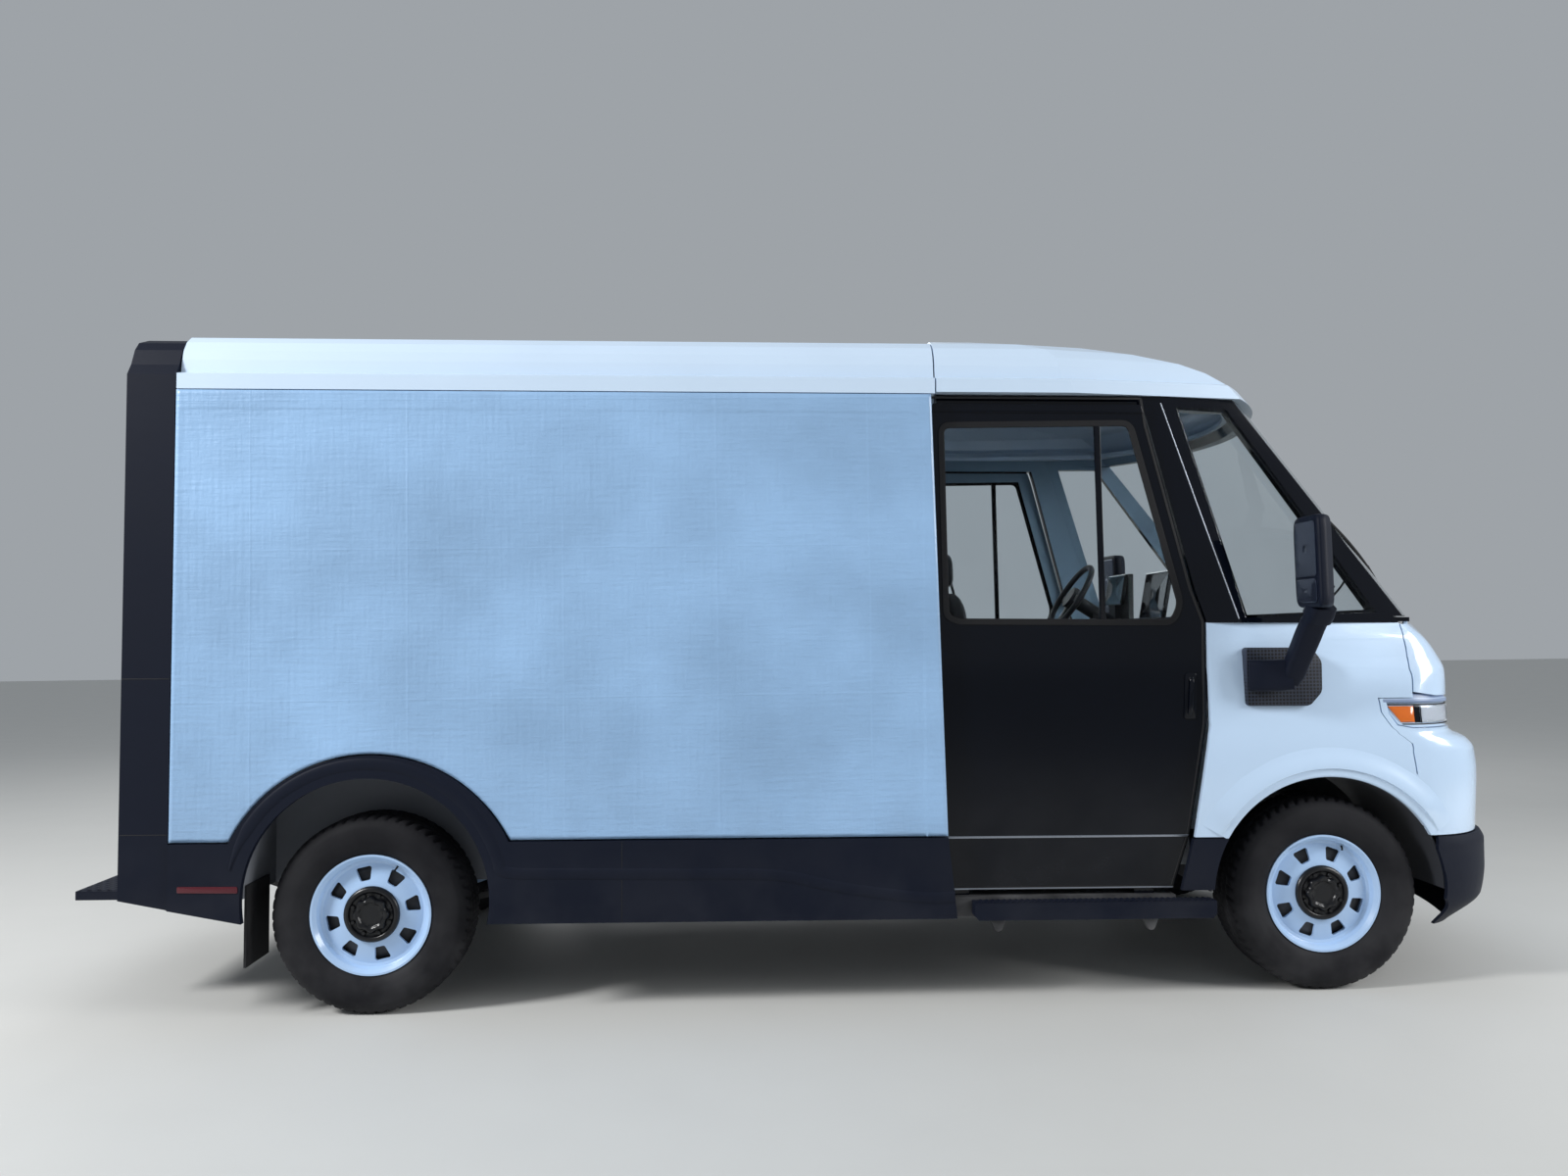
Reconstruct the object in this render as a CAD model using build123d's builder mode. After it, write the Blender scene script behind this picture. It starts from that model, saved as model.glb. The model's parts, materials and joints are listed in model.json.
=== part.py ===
from build123d import *
import os
from math import cos, radians, sin, tan

os.makedirs("parts", exist_ok=True)

# Electric cargo van, nose towards +X, left side towards +Y, +Z up, in millimetres.
# The body is drawn level in its own frame: X = 0 is FRONT_AXLE_X behind the front axle, Z = 0 on the ground.
# It stands nose down by RAKE on its wheels, as an empty van does, so body pieces are turned by RAKE
# about Y when they are placed. Wheels, knuckles and the steering rack are drawn in the ground's frame.

# ---------------------------------------------------------------- driving dimensions
WHEELBASE = 3886.0
FRONT_AXLE_X = 1943.0
REAR_AXLE_X = FRONT_AXLE_X - WHEELBASE
RAKE = 0.66                      # degrees, nose down
HALF_WIDTH = 1030.0              # body, without mirrors
REAR_FACE_X = REAR_AXLE_X - 962  # rear face of the rear portal
STEP_DEPTH = 295.0               # rear step, behind the portal
REAR_STEP_Z = (404.0, 440.0)     # its under side and its tread
BUMPER_TIP_X = 2861.0
ROOF_CROWN_Z = 2750.0

TYRE_RADIUS = 395.0
TYRE_WIDTH = 250.0
TYRE_INSET = 45.0                # tyre's outer face inside the body's side
HALF_TRACK = HALF_WIDTH - TYRE_INSET - TYRE_WIDTH / 2
RIM_RADIUS = 240.0               # outside of the rim flange
RIM_SEAT_RADIUS = 226.0
RIM_WIDTH = 206.0                # over the flanges
SPINDLE_RADIUS = 32.0
PIN_CLEARANCE = 0.08             # spindles, kingpins, hinge pins, rack and steering shaft

PANEL_THICKNESS = 30.0           # cargo side wall, outer skin with its core
LINER_THICKNESS = 10.0
DOOR_THICKNESS = 40.0
DOOR_GAP = 15.0                  # between the sliding door and the side panel that it slides behind
DOOR_SEAM = 6.0                  # round the edge of the door
LINER_GAP = 20.0                 # between the sliding door and the liner inside it
PANEL_INNER_Y = HALF_WIDTH - PANEL_THICKNESS
DOOR_OUTER_Y = PANEL_INNER_Y - DOOR_GAP
DOOR_INNER_Y = DOOR_OUTER_Y - DOOR_THICKNESS
LINER_INNER_Y = DOOR_INNER_Y - LINER_GAP - LINER_THICKNESS
CLADDING_INNER_Y = HALF_WIDTH - 20
SKIN_THICKNESS = 20.0            # fender, fascia
HOOD_THICKNESS = 12.0
GLASS_THICKNESS = 6.0
SEAL_GAP = 0.3                   # between a curved pane and the frame behind it
FRAME_DEPTH = 60.0               # cab pillars, outside to inside

PORTAL_FRONT_X = REAR_FACE_X + 189  # seam between the rear portal and the cargo box
CARGO_FRONT_TOP_X = 308.0        # front edge of the side panel, which leans
CARGO_FRONT_LOW_X = 366.0
BELT_Z = 678.0                   # seam between side panel and lower cladding
SEAM_Z = 664.0                   # seam between fender and bumper
RAIL_Z = 2470.0                  # lower edge of the roof rail
LEDGE_Z = 2540.0                 # drip ledge on the roof side
CLADDING_LOW_Z = 350.0
CLADDING_BULGE = 10.0            # the cladding stands proud of the panel
SILL_Z = 1536.0                  # top of fender and hood
GLASS_LOW_Z = 1565.0             # lower edge of the windshield
HEADER_Z = 2480.0                # lower edge of the cab roof
FLOOR_Z = 700.0                  # cargo floor, upper face
FLOOR_THICKNESS = 40.0
ROOF_THICKNESS = 30.0

FRONT_ARCH_RADIUS = TYRE_RADIUS + 92
ARCH_INNER_Y = HALF_WIDTH - 530
REAR_ARCH_RADIUS = TYRE_RADIUS + 90
REAR_ARCH_RISE = 68.0            # centre of the rear arch above the wheel centre
FLARE_RADIUS = REAR_ARCH_RADIUS + 120  # outer edge of the rear wheel flare
FLARE_RISE = 38.0

DOOR_TRAVEL = 860.0

SIDES = {"right": -1, "left": 1}
WIDE = HALF_WIDTH + 70           # outside everything but the mirrors, for cuts


def to_body(x, z):
    """A point of the ground's frame, in the body's own level frame."""
    angle = radians(RAKE)
    return x * cos(angle) - z * sin(angle), x * sin(angle) + z * cos(angle)


def to_ground_x(x, z):
    """How far forward a point of the level body stands once the body is on its wheels."""
    return x * cos(radians(RAKE)) + z * sin(radians(RAKE))


FRONT_WHEEL = to_body(FRONT_AXLE_X, TYRE_RADIUS)
REAR_WHEEL = to_body(REAR_AXLE_X, TYRE_RADIUS)
# the shared origin is on the ground under the middle of the overall length
ORIGIN_SHIFT = -(to_ground_x(BUMPER_TIP_X, 620) + to_ground_x(REAR_FACE_X - STEP_DEPTH, REAR_STEP_Z[1])) / 2
BODY_SEAT = Location((ORIGIN_SHIFT, 0, 0)) * Location((0, 0, 0), (0, RAKE, 0))
GROUND_SEAT = Location((ORIGIN_SHIFT, 0, 0))


def arch_reach(radius, z):
    """How far a circle about the front wheel reaches forward and back of it at height z."""
    return (radius**2 - (z - FRONT_WHEEL[1]) ** 2) ** 0.5


def write(name, shape, seat=BODY_SEAT):
    """Puts a finished piece in its place and writes it under its node name."""
    placed = seat * shape
    placed.label = name
    export_step(placed, f"parts/{name}.step")


def side_block(points, y_from, y_to):
    """A closed side view, points as (x, z), extruded from y_from to y_to."""
    with BuildPart() as block:
        with BuildSketch(Plane.XZ.offset(-y_from)):
            with BuildLine():
                Polyline(*points, close=True)
            make_face()
        extrude(amount=y_from - y_to)
    return block.part


def side_box(side, x_span, y_span, z_span):
    """A box on one side of the van, y_span counted outwards from the middle."""
    low_y, high_y = sorted(side * y for y in y_span)
    return box_between((x_span[0], low_y, z_span[0]), (x_span[1], high_y, z_span[1]))


def disc_block(centre, radius, y_from, y_to):
    """A round bar along Y, at centre (x, z)."""
    with BuildPart() as block:
        with BuildSketch(Plane.XZ.offset(-y_from)):
            with Locations(centre):
                Circle(radius)
        extrude(amount=y_from - y_to)
    return block.part


def box_between(low, high):
    """A box from its lowest to its highest corner."""
    with BuildPart() as block:
        with Locations(tuple(low)):
            Box(*[b - a for a, b in zip(low, high)], align=Align.MIN)
    return block.part


# ---------------------------------------------------------------- the nose, as plan sections
NOSE_ROOT_X = 1300.0             # where the plan sections start, behind the fender's rear edge
TAPER_FROM_X = 1453.0            # half width is taken here

# height, tip of the centre line, narrowing of each side, taper of the side in degrees, corner radius,
# and the angle off the nose at which the corner starts
NOSE_LEVELS = [
    (SEAM_Z, 2820, 0, 0, 390, 18),
    (910, 2832, 0, 0, 390, 18),
    (1005, 2820, 2, 0, 380, 18),
    (1050, 2785, 4, 0, 360, 19),
    (1090, 2712, 7, 0, 310, 21),
    (1226, 2713, 15, 1, 280, 22),
    (1340, 2732, 26, 2, 220, 26),
    (1400, 2724, 30, 3, 190, 29),
    (1470, 2702, 37, 4, 140, 33),
    (SILL_Z, 2664, 45, 5.4, 80, 38),
]
BUMPER_LEVELS = [
    (285, 2700, 30, 0, 380, 18),
    (400, 2846, 5, 0, 400, 18),
    (520, BUMPER_TIP_X, 0, 0, 400, 18),
    (620, BUMPER_TIP_X, 0, 0, 400, 18),
    (SEAM_Z, 2838, 0, 0, 395, 18),
]


def plan_section(level, inset=0.0):
    """One plan outline: rear line, tapering sides, corner arcs and a centre arc through the tip.
    The centre arc's radius follows from the half width that the sides must reach."""
    height, tip, narrowing, taper, corner, turn = level
    tip, half_width, corner = tip - inset, HALF_WIDTH - narrowing - inset, max(corner - inset, 20.0)
    root_x = NOSE_ROOT_X - (1.0 if inset else 0.0)
    slope, start, end = tan(radians(taper)), radians(turn), radians(90 - taper)
    reach = half_width + corner * (sin(start) - sin(end))
    reach -= slope * (tip - corner * cos(start) + corner * cos(end) - TAPER_FROM_X)
    radius = reach / (sin(start) + slope * (cos(start) - 1))
    corner_x = tip - radius + (radius - corner) * cos(start)
    corner_y = (radius - corner) * sin(start)

    def on_corner(angle, side):
        return corner_x + corner * cos(angle), side * (corner_y + corner * sin(angle))

    foot_x, foot_y = on_corner(end, 1)
    root_y = foot_y + (foot_x - root_x) * slope
    middle = (start + end) / 2
    with BuildSketch(Plane.XY.offset(height)) as plan:
        with BuildLine():
            Line((root_x, -root_y), (foot_x, -foot_y))
            ThreePointArc((foot_x, -foot_y), on_corner(middle, -1), on_corner(start, -1))
            ThreePointArc(on_corner(start, -1), (tip, 0), on_corner(start, 1))
            ThreePointArc(on_corner(start, 1), on_corner(middle, 1), (foot_x, foot_y))
            Line((foot_x, foot_y), (root_x, root_y))
            Line((root_x, root_y), (root_x, -root_y))
        make_face()
    return plan.sketch


def lofted(sections):
    """One solid through a list of sketches."""
    with BuildPart() as solid:
        for section in sections:
            add(section)
        loft(ruled=True)
    return solid.part


def nose_solid(levels, inset=0.0):
    """The solid inside the nose's plan sections, run 1 mm past both ends when it is a core."""
    spread = 1.0 if inset else 0.0
    heights = [levels[0][0] - spread, *[level[0] for level in levels[1:-1]], levels[-1][0] + spread]
    return lofted([plan_section((z, *level[1:]), inset) for z, level in zip(heights, levels)])


nose_outer = nose_solid(NOSE_LEVELS)
nose_core = nose_solid(NOSE_LEVELS, SKIN_THICKNESS)
hood_core = nose_solid(NOSE_LEVELS, HOOD_THICKNESS)
bumper_outer = nose_solid(BUMPER_LEVELS)
bumper_core = nose_solid(BUMPER_LEVELS, SKIN_THICKNESS)

HOOD_SEAM_X = 2315.0
LAMP_SEAM = [(2167, 1222), (2177, 1163), (2217, 1100), (2290, 1037)]
# the seam between fender and fascia runs down into the arch, just above the bumper
FASCIA_LOW_X = FRONT_WHEEL[0] + arch_reach(FRONT_ARCH_RADIUS, SEAM_Z) - 13.3
SEAM = 6.0                       # open seams between outer panels
FENDER_REAR = [(1453, SILL_Z), (1452, 1116), (1377, SEAM_Z)]

with BuildPart() as fenders:
    for side in SIDES.values():
        with BuildPart(mode=Mode.PRIVATE) as fender:
            add(nose_outer)
            add(nose_core, mode=Mode.SUBTRACT)
            front_x = HOOD_SEAM_X - SEAM / 2
            add(side_block([*FENDER_REAR, (FASCIA_LOW_X - SEAM, SEAM_Z),
                            *[(x - SEAM, z + SEAM / 2) for x, z in reversed(LAMP_SEAM)],
                            (front_x, LAMP_SEAM[0][1] + SEAM / 2), (front_x, SILL_Z)],
                           side * (HALF_WIDTH - 430), side * WIDE), mode=Mode.INTERSECT)
            add(disc_block(FRONT_WHEEL, FRONT_ARCH_RADIUS, side * ARCH_INNER_Y, side * WIDE),
                mode=Mode.SUBTRACT)
        add(fender.part)
write("fenders", fenders.part)

LAMP_CUT = [(2196, 1206), (2206, 1160), (2236, 1112), (2300, 1100), (2900, 1100), (2900, 1206)]
LAMP_INNER_Y = HALF_WIDTH - 470
with BuildPart() as front_fascia:
    add(nose_outer)
    add(nose_core, mode=Mode.SUBTRACT)
    add(side_block([(FASCIA_LOW_X, SEAM_Z), *reversed(LAMP_SEAM), (2900, 1222), (2900, SEAM_Z)],
                   -WIDE, WIDE), mode=Mode.INTERSECT)
    for side in SIDES.values():
        add(side_block(LAMP_CUT, side * LAMP_INNER_Y, side * WIDE), mode=Mode.SUBTRACT)
        add(disc_block(FRONT_WHEEL, FRONT_ARCH_RADIUS, side * ARCH_INNER_Y, side * WIDE), mode=Mode.SUBTRACT)
write("front_fascia", front_fascia.part)

lamp_front = nose_solid(NOSE_LEVELS, 8.0)
lamp_back = nose_solid(NOSE_LEVELS, 70.0)
with BuildPart() as headlamps:
    for side in SIDES.values():
        with BuildPart(mode=Mode.PRIVATE) as lens:
            add(lamp_front)
            add(side_block([(2200, 1202), (2210, 1158), (2240, 1115), (2302, 1104), (2900, 1104), (2900, 1202)],
                           side * (LAMP_INNER_Y + 4), side * WIDE), mode=Mode.INTERSECT)
        with BuildPart(mode=Mode.PRIVATE) as housing:
            add(nose_core)
            add(side_block([(2190, 1212), (2200, 1150), (2228, 1094), (2900, 1094), (2900, 1212)],
                           side * (LAMP_INNER_Y - 10), side * WIDE), mode=Mode.INTERSECT)
            add(lens.part)
            add(lamp_back, mode=Mode.SUBTRACT)
        add(housing.part)
write("headlamps", headlamps.part)

BUMPER_REAR_X = FRONT_WHEEL[0] + FRONT_ARCH_RADIUS - 37
with BuildPart() as front_bumper:
    add(bumper_outer)
    add(bumper_core, mode=Mode.SUBTRACT)
    add(side_block([(BUMPER_REAR_X, 285), (BUMPER_REAR_X, SEAM_Z - SEAM), (2900, SEAM_Z - SEAM),
                    (2900, 285)],
                   -WIDE, WIDE), mode=Mode.INTERSECT)
    for side in SIDES.values():
        add(disc_block(FRONT_WHEEL, FRONT_ARCH_RADIUS, side * ARCH_INNER_Y, side * WIDE), mode=Mode.SUBTRACT)
write("front_bumper", front_bumper.part)

# ---------------------------------------------------------------- hood, on pins at the cowl
HOOD_LOW_Z = 1232.0
HOOD_TOP_Z = SILL_Z - SEAM
HOOD_EAR_Y = (HALF_WIDTH - 166, HALF_WIDTH - 156)
GLASS_HALF_WIDTH = HALF_WIDTH - 130
GLASS_SETBACK = 309.8524         # how far the glass's edge stands behind its middle, in plan
GLASS_RADIUS = (GLASS_SETBACK**2 + GLASS_HALF_WIDTH**2) / (2 * GLASS_SETBACK)
GLASS_TIP = (2664.0, 1921.0)     # middle of the glass at SILL_Z and at HEADER_Z
# the hinge lies just behind the foot of the glass, at the hood's ears
glass_foot_x = GLASS_TIP[0] - GLASS_RADIUS + (GLASS_RADIUS**2 - HOOD_EAR_Y[1] ** 2) ** 0.5
HOOD_HINGE = (glass_foot_x - 14, SILL_Z + 14.0)
HINGE_GAP = 5.0                  # between the hood's ear and the cab frame's bracket
HINGE_EAR_RADIUS = 9.0
HINGE_PIN_RADIUS = 5.0
hinge_x, hinge_z = HOOD_HINGE
with BuildPart() as hood:
    add(nose_outer)
    add(hood_core, mode=Mode.SUBTRACT)
    add(side_block([(HOOD_SEAM_X + SEAM / 2, HOOD_LOW_Z + 16), (2430, HOOD_LOW_Z), (2900, HOOD_LOW_Z),
                    (2900, HOOD_TOP_Z), (HOOD_SEAM_X + SEAM / 2, HOOD_TOP_Z)], -WIDE, WIDE),
        mode=Mode.INTERSECT)
    for side in SIDES.values():
        with BuildPart(mode=Mode.PRIVATE) as ear:
            add(side_block([(hinge_x - 14, 1490), (hinge_x + 240, 1490), (hinge_x + 240, HOOD_TOP_Z),
                            (hinge_x + 8, hinge_z), (hinge_x - 8, hinge_z)],
                           side * HOOD_EAR_Y[0], side * HOOD_EAR_Y[1]))
            add(nose_outer, mode=Mode.INTERSECT)
            add(side_block([(hinge_x - 8, HOOD_TOP_Z - 10), (hinge_x + 8, HOOD_TOP_Z - 10),
                            (hinge_x + 8, hinge_z), (hinge_x - 8, hinge_z)],
                           side * HOOD_EAR_Y[0], side * HOOD_EAR_Y[1]))
            add(disc_block(HOOD_HINGE, HINGE_EAR_RADIUS, side * HOOD_EAR_Y[0], side * HOOD_EAR_Y[1]))
            add(disc_block(HOOD_HINGE, HINGE_PIN_RADIUS + PIN_CLEARANCE, side * (HOOD_EAR_Y[0] - 1),
                           side * (HOOD_EAR_Y[1] + 1)), mode=Mode.SUBTRACT)
        add(ear.part)
write("hood", hood.part)

# ---------------------------------------------------------------- windshield and cab frame
SIDE_CORNER_X = (1604.0, 1286.0)  # where the cab's side begins to turn in, at the same heights
SIDE_HALF_WIDTH = (HALF_WIDTH - 45, HALF_WIDTH - 65)
GLASS_TOP_Z = HEADER_Z - 4.0
FRAME_ROOT_X = 341.0


def along(pair, z):
    """The value at height z of something that changes evenly from SILL_Z to HEADER_Z."""
    return pair[0] + (pair[1] - pair[0]) * (z - SILL_Z) / (HEADER_Z - SILL_Z)


def cab_section(z, inset=0.0):
    """The cab's plan outline at height z: two straight facets a side and the glass's arc."""
    half, corner_x = along(SIDE_HALF_WIDTH, z) - inset, along(SIDE_CORNER_X, z)
    tip = along(GLASS_TIP, z) - inset
    edge_y = GLASS_HALF_WIDTH - inset
    edge_x = tip - GLASS_RADIUS + (GLASS_RADIUS**2 - edge_y**2) ** 0.5
    root_x = FRAME_ROOT_X - (1.0 if inset else 0.0)
    with BuildSketch(Plane.XY.offset(z)) as plan:
        with BuildLine():
            Polyline((edge_x, edge_y), (corner_x, half), (root_x, half), (root_x, -half), (corner_x, -half),
                     (edge_x, -edge_y))
            ThreePointArc((edge_x, -edge_y), (tip, 0), (edge_x, edge_y))
        make_face()
    return plan.sketch


def glass_section(z, outer, inner, half):
    """The windshield's plan at height z: the band from outer to inner of its surface."""
    centre_x = along(GLASS_TIP, z) - GLASS_RADIUS

    def end(offset, y):
        return centre_x + ((GLASS_RADIUS + offset) ** 2 - y**2) ** 0.5, y

    with BuildSketch(Plane.XY.offset(z)) as plan:
        with BuildLine():
            ThreePointArc(end(outer, -half), end(outer, 0), end(outer, half))
            Line(end(outer, half), end(inner, half))
            ThreePointArc(end(inner, half), end(inner, 0), end(inner, -half))
            Line(end(inner, -half), end(outer, -half))
        make_face()
    return plan.sketch


windshield = lofted([glass_section(z, 0, -GLASS_THICKNESS, GLASS_HALF_WIDTH - 4)
                     for z in (GLASS_LOW_Z, GLASS_TOP_Z)])
write("windshield", windshield)

cab_outer = lofted([cab_section(z) for z in (SILL_Z, HEADER_Z)])
cab_core = lofted([cab_section(z, FRAME_DEPTH) for z in (SILL_Z - 1, HEADER_Z + 1)])
pane_core = lofted([cab_section(z, GLASS_THICKNESS) for z in (SILL_Z - 1, HEADER_Z + 1)])
rebate_core = lofted([cab_section(z, GLASS_THICKNESS + SEAL_GAP) for z in (SILL_Z - 1, HEADER_Z + 1)])
glass_rebate = lofted([glass_section(z, 30, -GLASS_THICKNESS - SEAL_GAP, GLASS_HALF_WIDTH - 3)
                       for z in (GLASS_LOW_Z - 1, GLASS_TOP_Z + 1)])

COWL_RECESS = 40.0               # the frame stands back here, so that the hood can lift past it
cowl_recess = lofted([glass_section(z, 30, -COWL_RECESS, GLASS_HALF_WIDTH + 5)
                      for z in (SILL_Z - 1, GLASS_LOW_Z - 1)])

QUARTER_PANE = [(1351, 2436), (1582, 2434), (2210, 1580), (1622, 1558)]
QUARTER_REBATE = [(1349.7, 2437), (1582.6, 2435), (2212.5, 1579), (1621, 1557)]
QUARTER_CLEAR = [(1361, 2426), (1576, 2423), (2187, 1591), (1629, 1568)]
DOOR_TOP_Z = 2412.0
FRAME_REAR = [(1453, SILL_Z), (1453, 1545), (1408, 1675), (1228, 2355), (1209, DOOR_TOP_Z + DOOR_SEAM),
              (FRAME_ROOT_X, DOOR_TOP_Z + DOOR_SEAM), (FRAME_ROOT_X, HEADER_Z)]
with BuildPart() as cab_frame:
    add(cab_outer)
    add(cab_core, mode=Mode.SUBTRACT)
    add(side_block([*FRAME_REAR, (2800, HEADER_Z), (2800, SILL_Z)], -WIDE, WIDE), mode=Mode.INTERSECT)
    add(glass_rebate, mode=Mode.SUBTRACT)
    add(cowl_recess, mode=Mode.SUBTRACT)
    with BuildSketch(Plane.YZ.offset(1300)):
        with BuildLine():
            low_y, high_y = GLASS_HALF_WIDTH - 38, GLASS_HALF_WIDTH - 28
            Polyline((-low_y, 1592), (low_y, 1592), (high_y, 2442), (-high_y, 2442), close=True)
        make_face()
    extrude(amount=1500, mode=Mode.SUBTRACT)
    for side in SIDES.values():
        with BuildPart(mode=Mode.PRIVATE) as rebate:
            add(side_block(QUARTER_REBATE, side * (HALF_WIDTH - 330), side * WIDE))
            add(rebate_core, mode=Mode.SUBTRACT)
        add(rebate.part, mode=Mode.SUBTRACT)
        add(side_block(QUARTER_CLEAR, side * (HALF_WIDTH - 330), side * WIDE), mode=Mode.SUBTRACT)
        bracket_y = side * (HOOD_EAR_Y[1] + HINGE_GAP)
        add(side_block([(hinge_x - 90, hinge_z - 9), (hinge_x + 9, hinge_z - 9), (hinge_x + 9, hinge_z + 9),
                        (hinge_x - 90, hinge_z + 9)], bracket_y, bracket_y + side * 8))
        add(disc_block(HOOD_HINGE, HINGE_PIN_RADIUS, side * (HOOD_EAR_Y[0] - 4), bracket_y + side * 4))
write("cab_frame", cab_frame.part)

with BuildPart() as quarter_windows:
    for side in SIDES.values():
        with BuildPart(mode=Mode.PRIVATE) as pane:
            add(side_block(QUARTER_PANE, side * (HALF_WIDTH - 330), side * WIDE))
            add(cab_outer, mode=Mode.INTERSECT)
            add(pane_core, mode=Mode.SUBTRACT)
        add(pane.part)
write("quarter_windows", quarter_windows.part)

# ---------------------------------------------------------------- roofs
CAB_ROOF_ROOT_X = 330.0
CARGO_ROOF_X = (PORTAL_FRONT_X + 4, CAB_ROOF_ROOT_X - SEAM)
ROOF_LOW_Z = RAIL_Z + 4
# height, narrowing of each side, x where the side turns in, corner of the front arc, tip
ROOF_LEVELS = [
    (HEADER_Z, 0, 900, (1640, 110), 1962),
    (LEDGE_Z - 4, 0, 880, (1585, 105), 1915),
    (LEDGE_Z + 8, 38, 860, (1590, 140), 1905),
    (2600, 46, 850, (1510, 160), 1840),
    (2640, 58, 840, (1400, 168), 1770),
    (2680, 85, 800, (1200, 172), 1640),
    (2708, 125, 700, (980, 180), 1480),
    (2728, 180, 500, (760, 230), 1250),
    (2742, 330, 450, (620, 410), 1000),
    (ROOF_CROWN_Z, 610, 400, (480, 630), 700),
]


def roof_section(level, inset=0.0):
    """The cab roof's plan outline at one height."""
    z, narrowing, turn_x, (corner_x, corner_narrowing), tip = level
    root_x = CAB_ROOF_ROOT_X - (1.0 if inset else 0.0)
    half, corner_y = HALF_WIDTH - narrowing - inset, HALF_WIDTH - corner_narrowing - inset
    corner_x, tip = corner_x - inset, tip - inset
    turn_x = min(turn_x, corner_x - 10)
    with BuildSketch(Plane.XY.offset(z)) as plan:
        with BuildLine():
            Polyline((corner_x, corner_y), (turn_x, half), (root_x, half), (root_x, -half), (turn_x, -half),
                     (corner_x, -corner_y))
            ThreePointArc((corner_x, -corner_y), (tip, 0), (corner_x, corner_y))
        make_face()
    return plan.sketch


roof_outer = lofted([roof_section(level) for level in ROOF_LEVELS])
roof_core = lofted([roof_section((z - (ROOF_THICKNESS if z > 2600 else 0), *rest), ROOF_THICKNESS)
                    for z, *rest in [(HEADER_Z + 20, *ROOF_LEVELS[0][1:]), *ROOF_LEVELS[1:]]])
roof_throat = lofted([roof_section((z, *ROOF_LEVELS[0][1:]), HALF_WIDTH - LINER_INNER_Y)
                      for z in (HEADER_Z - 1, HEADER_Z + 21)])
with BuildPart() as cab_roof:
    add(roof_outer)
    add(roof_core, mode=Mode.SUBTRACT)
    add(roof_throat, mode=Mode.SUBTRACT)
write("cab_roof", cab_roof.part)

ROOF_OUTER = [(HALF_WIDTH - narrowing, z) for narrowing, z in (
    (0, ROOF_LOW_Z), (0, LEDGE_Z - 4), (38, LEDGE_Z + 8), (46, 2600), (58, 2640), (85, 2680), (125, 2708),
    (180, 2720), (330, 2734), (610, 2746), (HALF_WIDTH, ROOF_CROWN_Z))]
ROOF_INNER = [(LINER_INNER_Y, ROOF_LOW_Z), (LINER_INNER_Y, ROOF_LOW_Z + 26),
              *[(HALF_WIDTH - narrowing, z) for narrowing, z in (
                  (75, ROOF_LOW_Z + 26), (80, 2600), (115, 2650), (180, 2685), (HALF_WIDTH, 2718))]]


def mirrored_outline(points):
    """A closed front view from its +Y half, as (y, z), whose last point lies on the middle."""
    return [*points, *[(-y, z) for y, z in reversed(points[:-1])]]


def front_block(points, x_from, x_to):
    """A closed front view, points as (y, z), extruded from x_from to x_to."""
    with BuildPart() as block:
        with BuildSketch(Plane.YZ.offset(x_from)):
            with BuildLine():
                Polyline(*points, close=True)
            make_face()
        extrude(amount=x_to - x_from)
    return block.part


with BuildPart() as cargo_roof:
    add(front_block(mirrored_outline(ROOF_OUTER), *CARGO_ROOF_X))
    add(front_block(mirrored_outline(ROOF_INNER), *CARGO_ROOF_X), mode=Mode.SUBTRACT)
write("cargo_roof", cargo_roof.part)

# ---------------------------------------------------------------- frame, battery and floor
RAIL_Y = (HALF_WIDTH - 630, HALF_WIDTH - 550)
RAIL_LOW_Z = 510.0
FLOOR_LOW_Z = FLOOR_Z - FLOOR_THICKNESS
RAIL_X = (REAR_FACE_X + 60, 2480.0)
SILL_Y = (HALF_WIDTH - 230, CLADDING_INNER_Y)
BULKHEAD_X = (284.0, CARGO_ROOF_X[1])
ARCH_LINER_THICKNESS = 8.0
# the firewall stands just behind the front arch liner, where that meets the floor
liner_rear_x = FRONT_WHEEL[0] - arch_reach(FRONT_ARCH_RADIUS + ARCH_LINER_THICKNESS, FLOOR_LOW_Z)
FIREWALL_X = (liner_rear_x - 29, liner_rear_x - 9)
PORTAL_OPENING_Y = HALF_WIDTH - 170
REAR_DOOR_X = (REAR_FACE_X + 30, REAR_FACE_X + 60)
WHEELHOUSE_INNER_Y = HALF_TRACK - TYRE_WIDTH / 2 - 75


def wheelhouse_outline(inset, low_z):
    """The rear wheelhouse's side view, moved inwards by inset."""
    half = REAR_ARCH_RADIUS + 10 - inset
    top = REAR_WHEEL[1] + REAR_ARCH_RISE + REAR_ARCH_RADIUS + 75 - inset
    right = [(half, low_z), (half, top - 210 + inset / 2), (half - 180 + inset / 2, top)]
    return [*[(REAR_WHEEL[0] - x, z) for x, z in right],
            *[(REAR_WHEEL[0] + x, z) for x, z in reversed(right)]]


WHEELHOUSE = wheelhouse_outline(0, 450)

with BuildPart() as frame_rails:
    for side in SIDES.values():
        add(side_box(side, RAIL_X, RAIL_Y, (RAIL_LOW_Z, FLOOR_LOW_Z)))
write("frame_rails", frame_rails.part)

with BuildPart() as crossmembers:
    for x in (RAIL_X[0] + 40, REAR_WHEEL[0] + 618, (REAR_WHEEL[0] + 968) / 2, 350, 1220, RAIL_X[1] - 45):
        add(box_between((x - 40, -RAIL_Y[0], RAIL_LOW_Z + 20), (x + 40, RAIL_Y[0], FLOOR_LOW_Z - 20)))
write("crossmembers", crossmembers.part)

write("battery_pack", box_between((REAR_WHEEL[0] + 698, -SILL_Y[0], 350), (1150, SILL_Y[0], RAIL_LOW_Z)))

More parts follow.
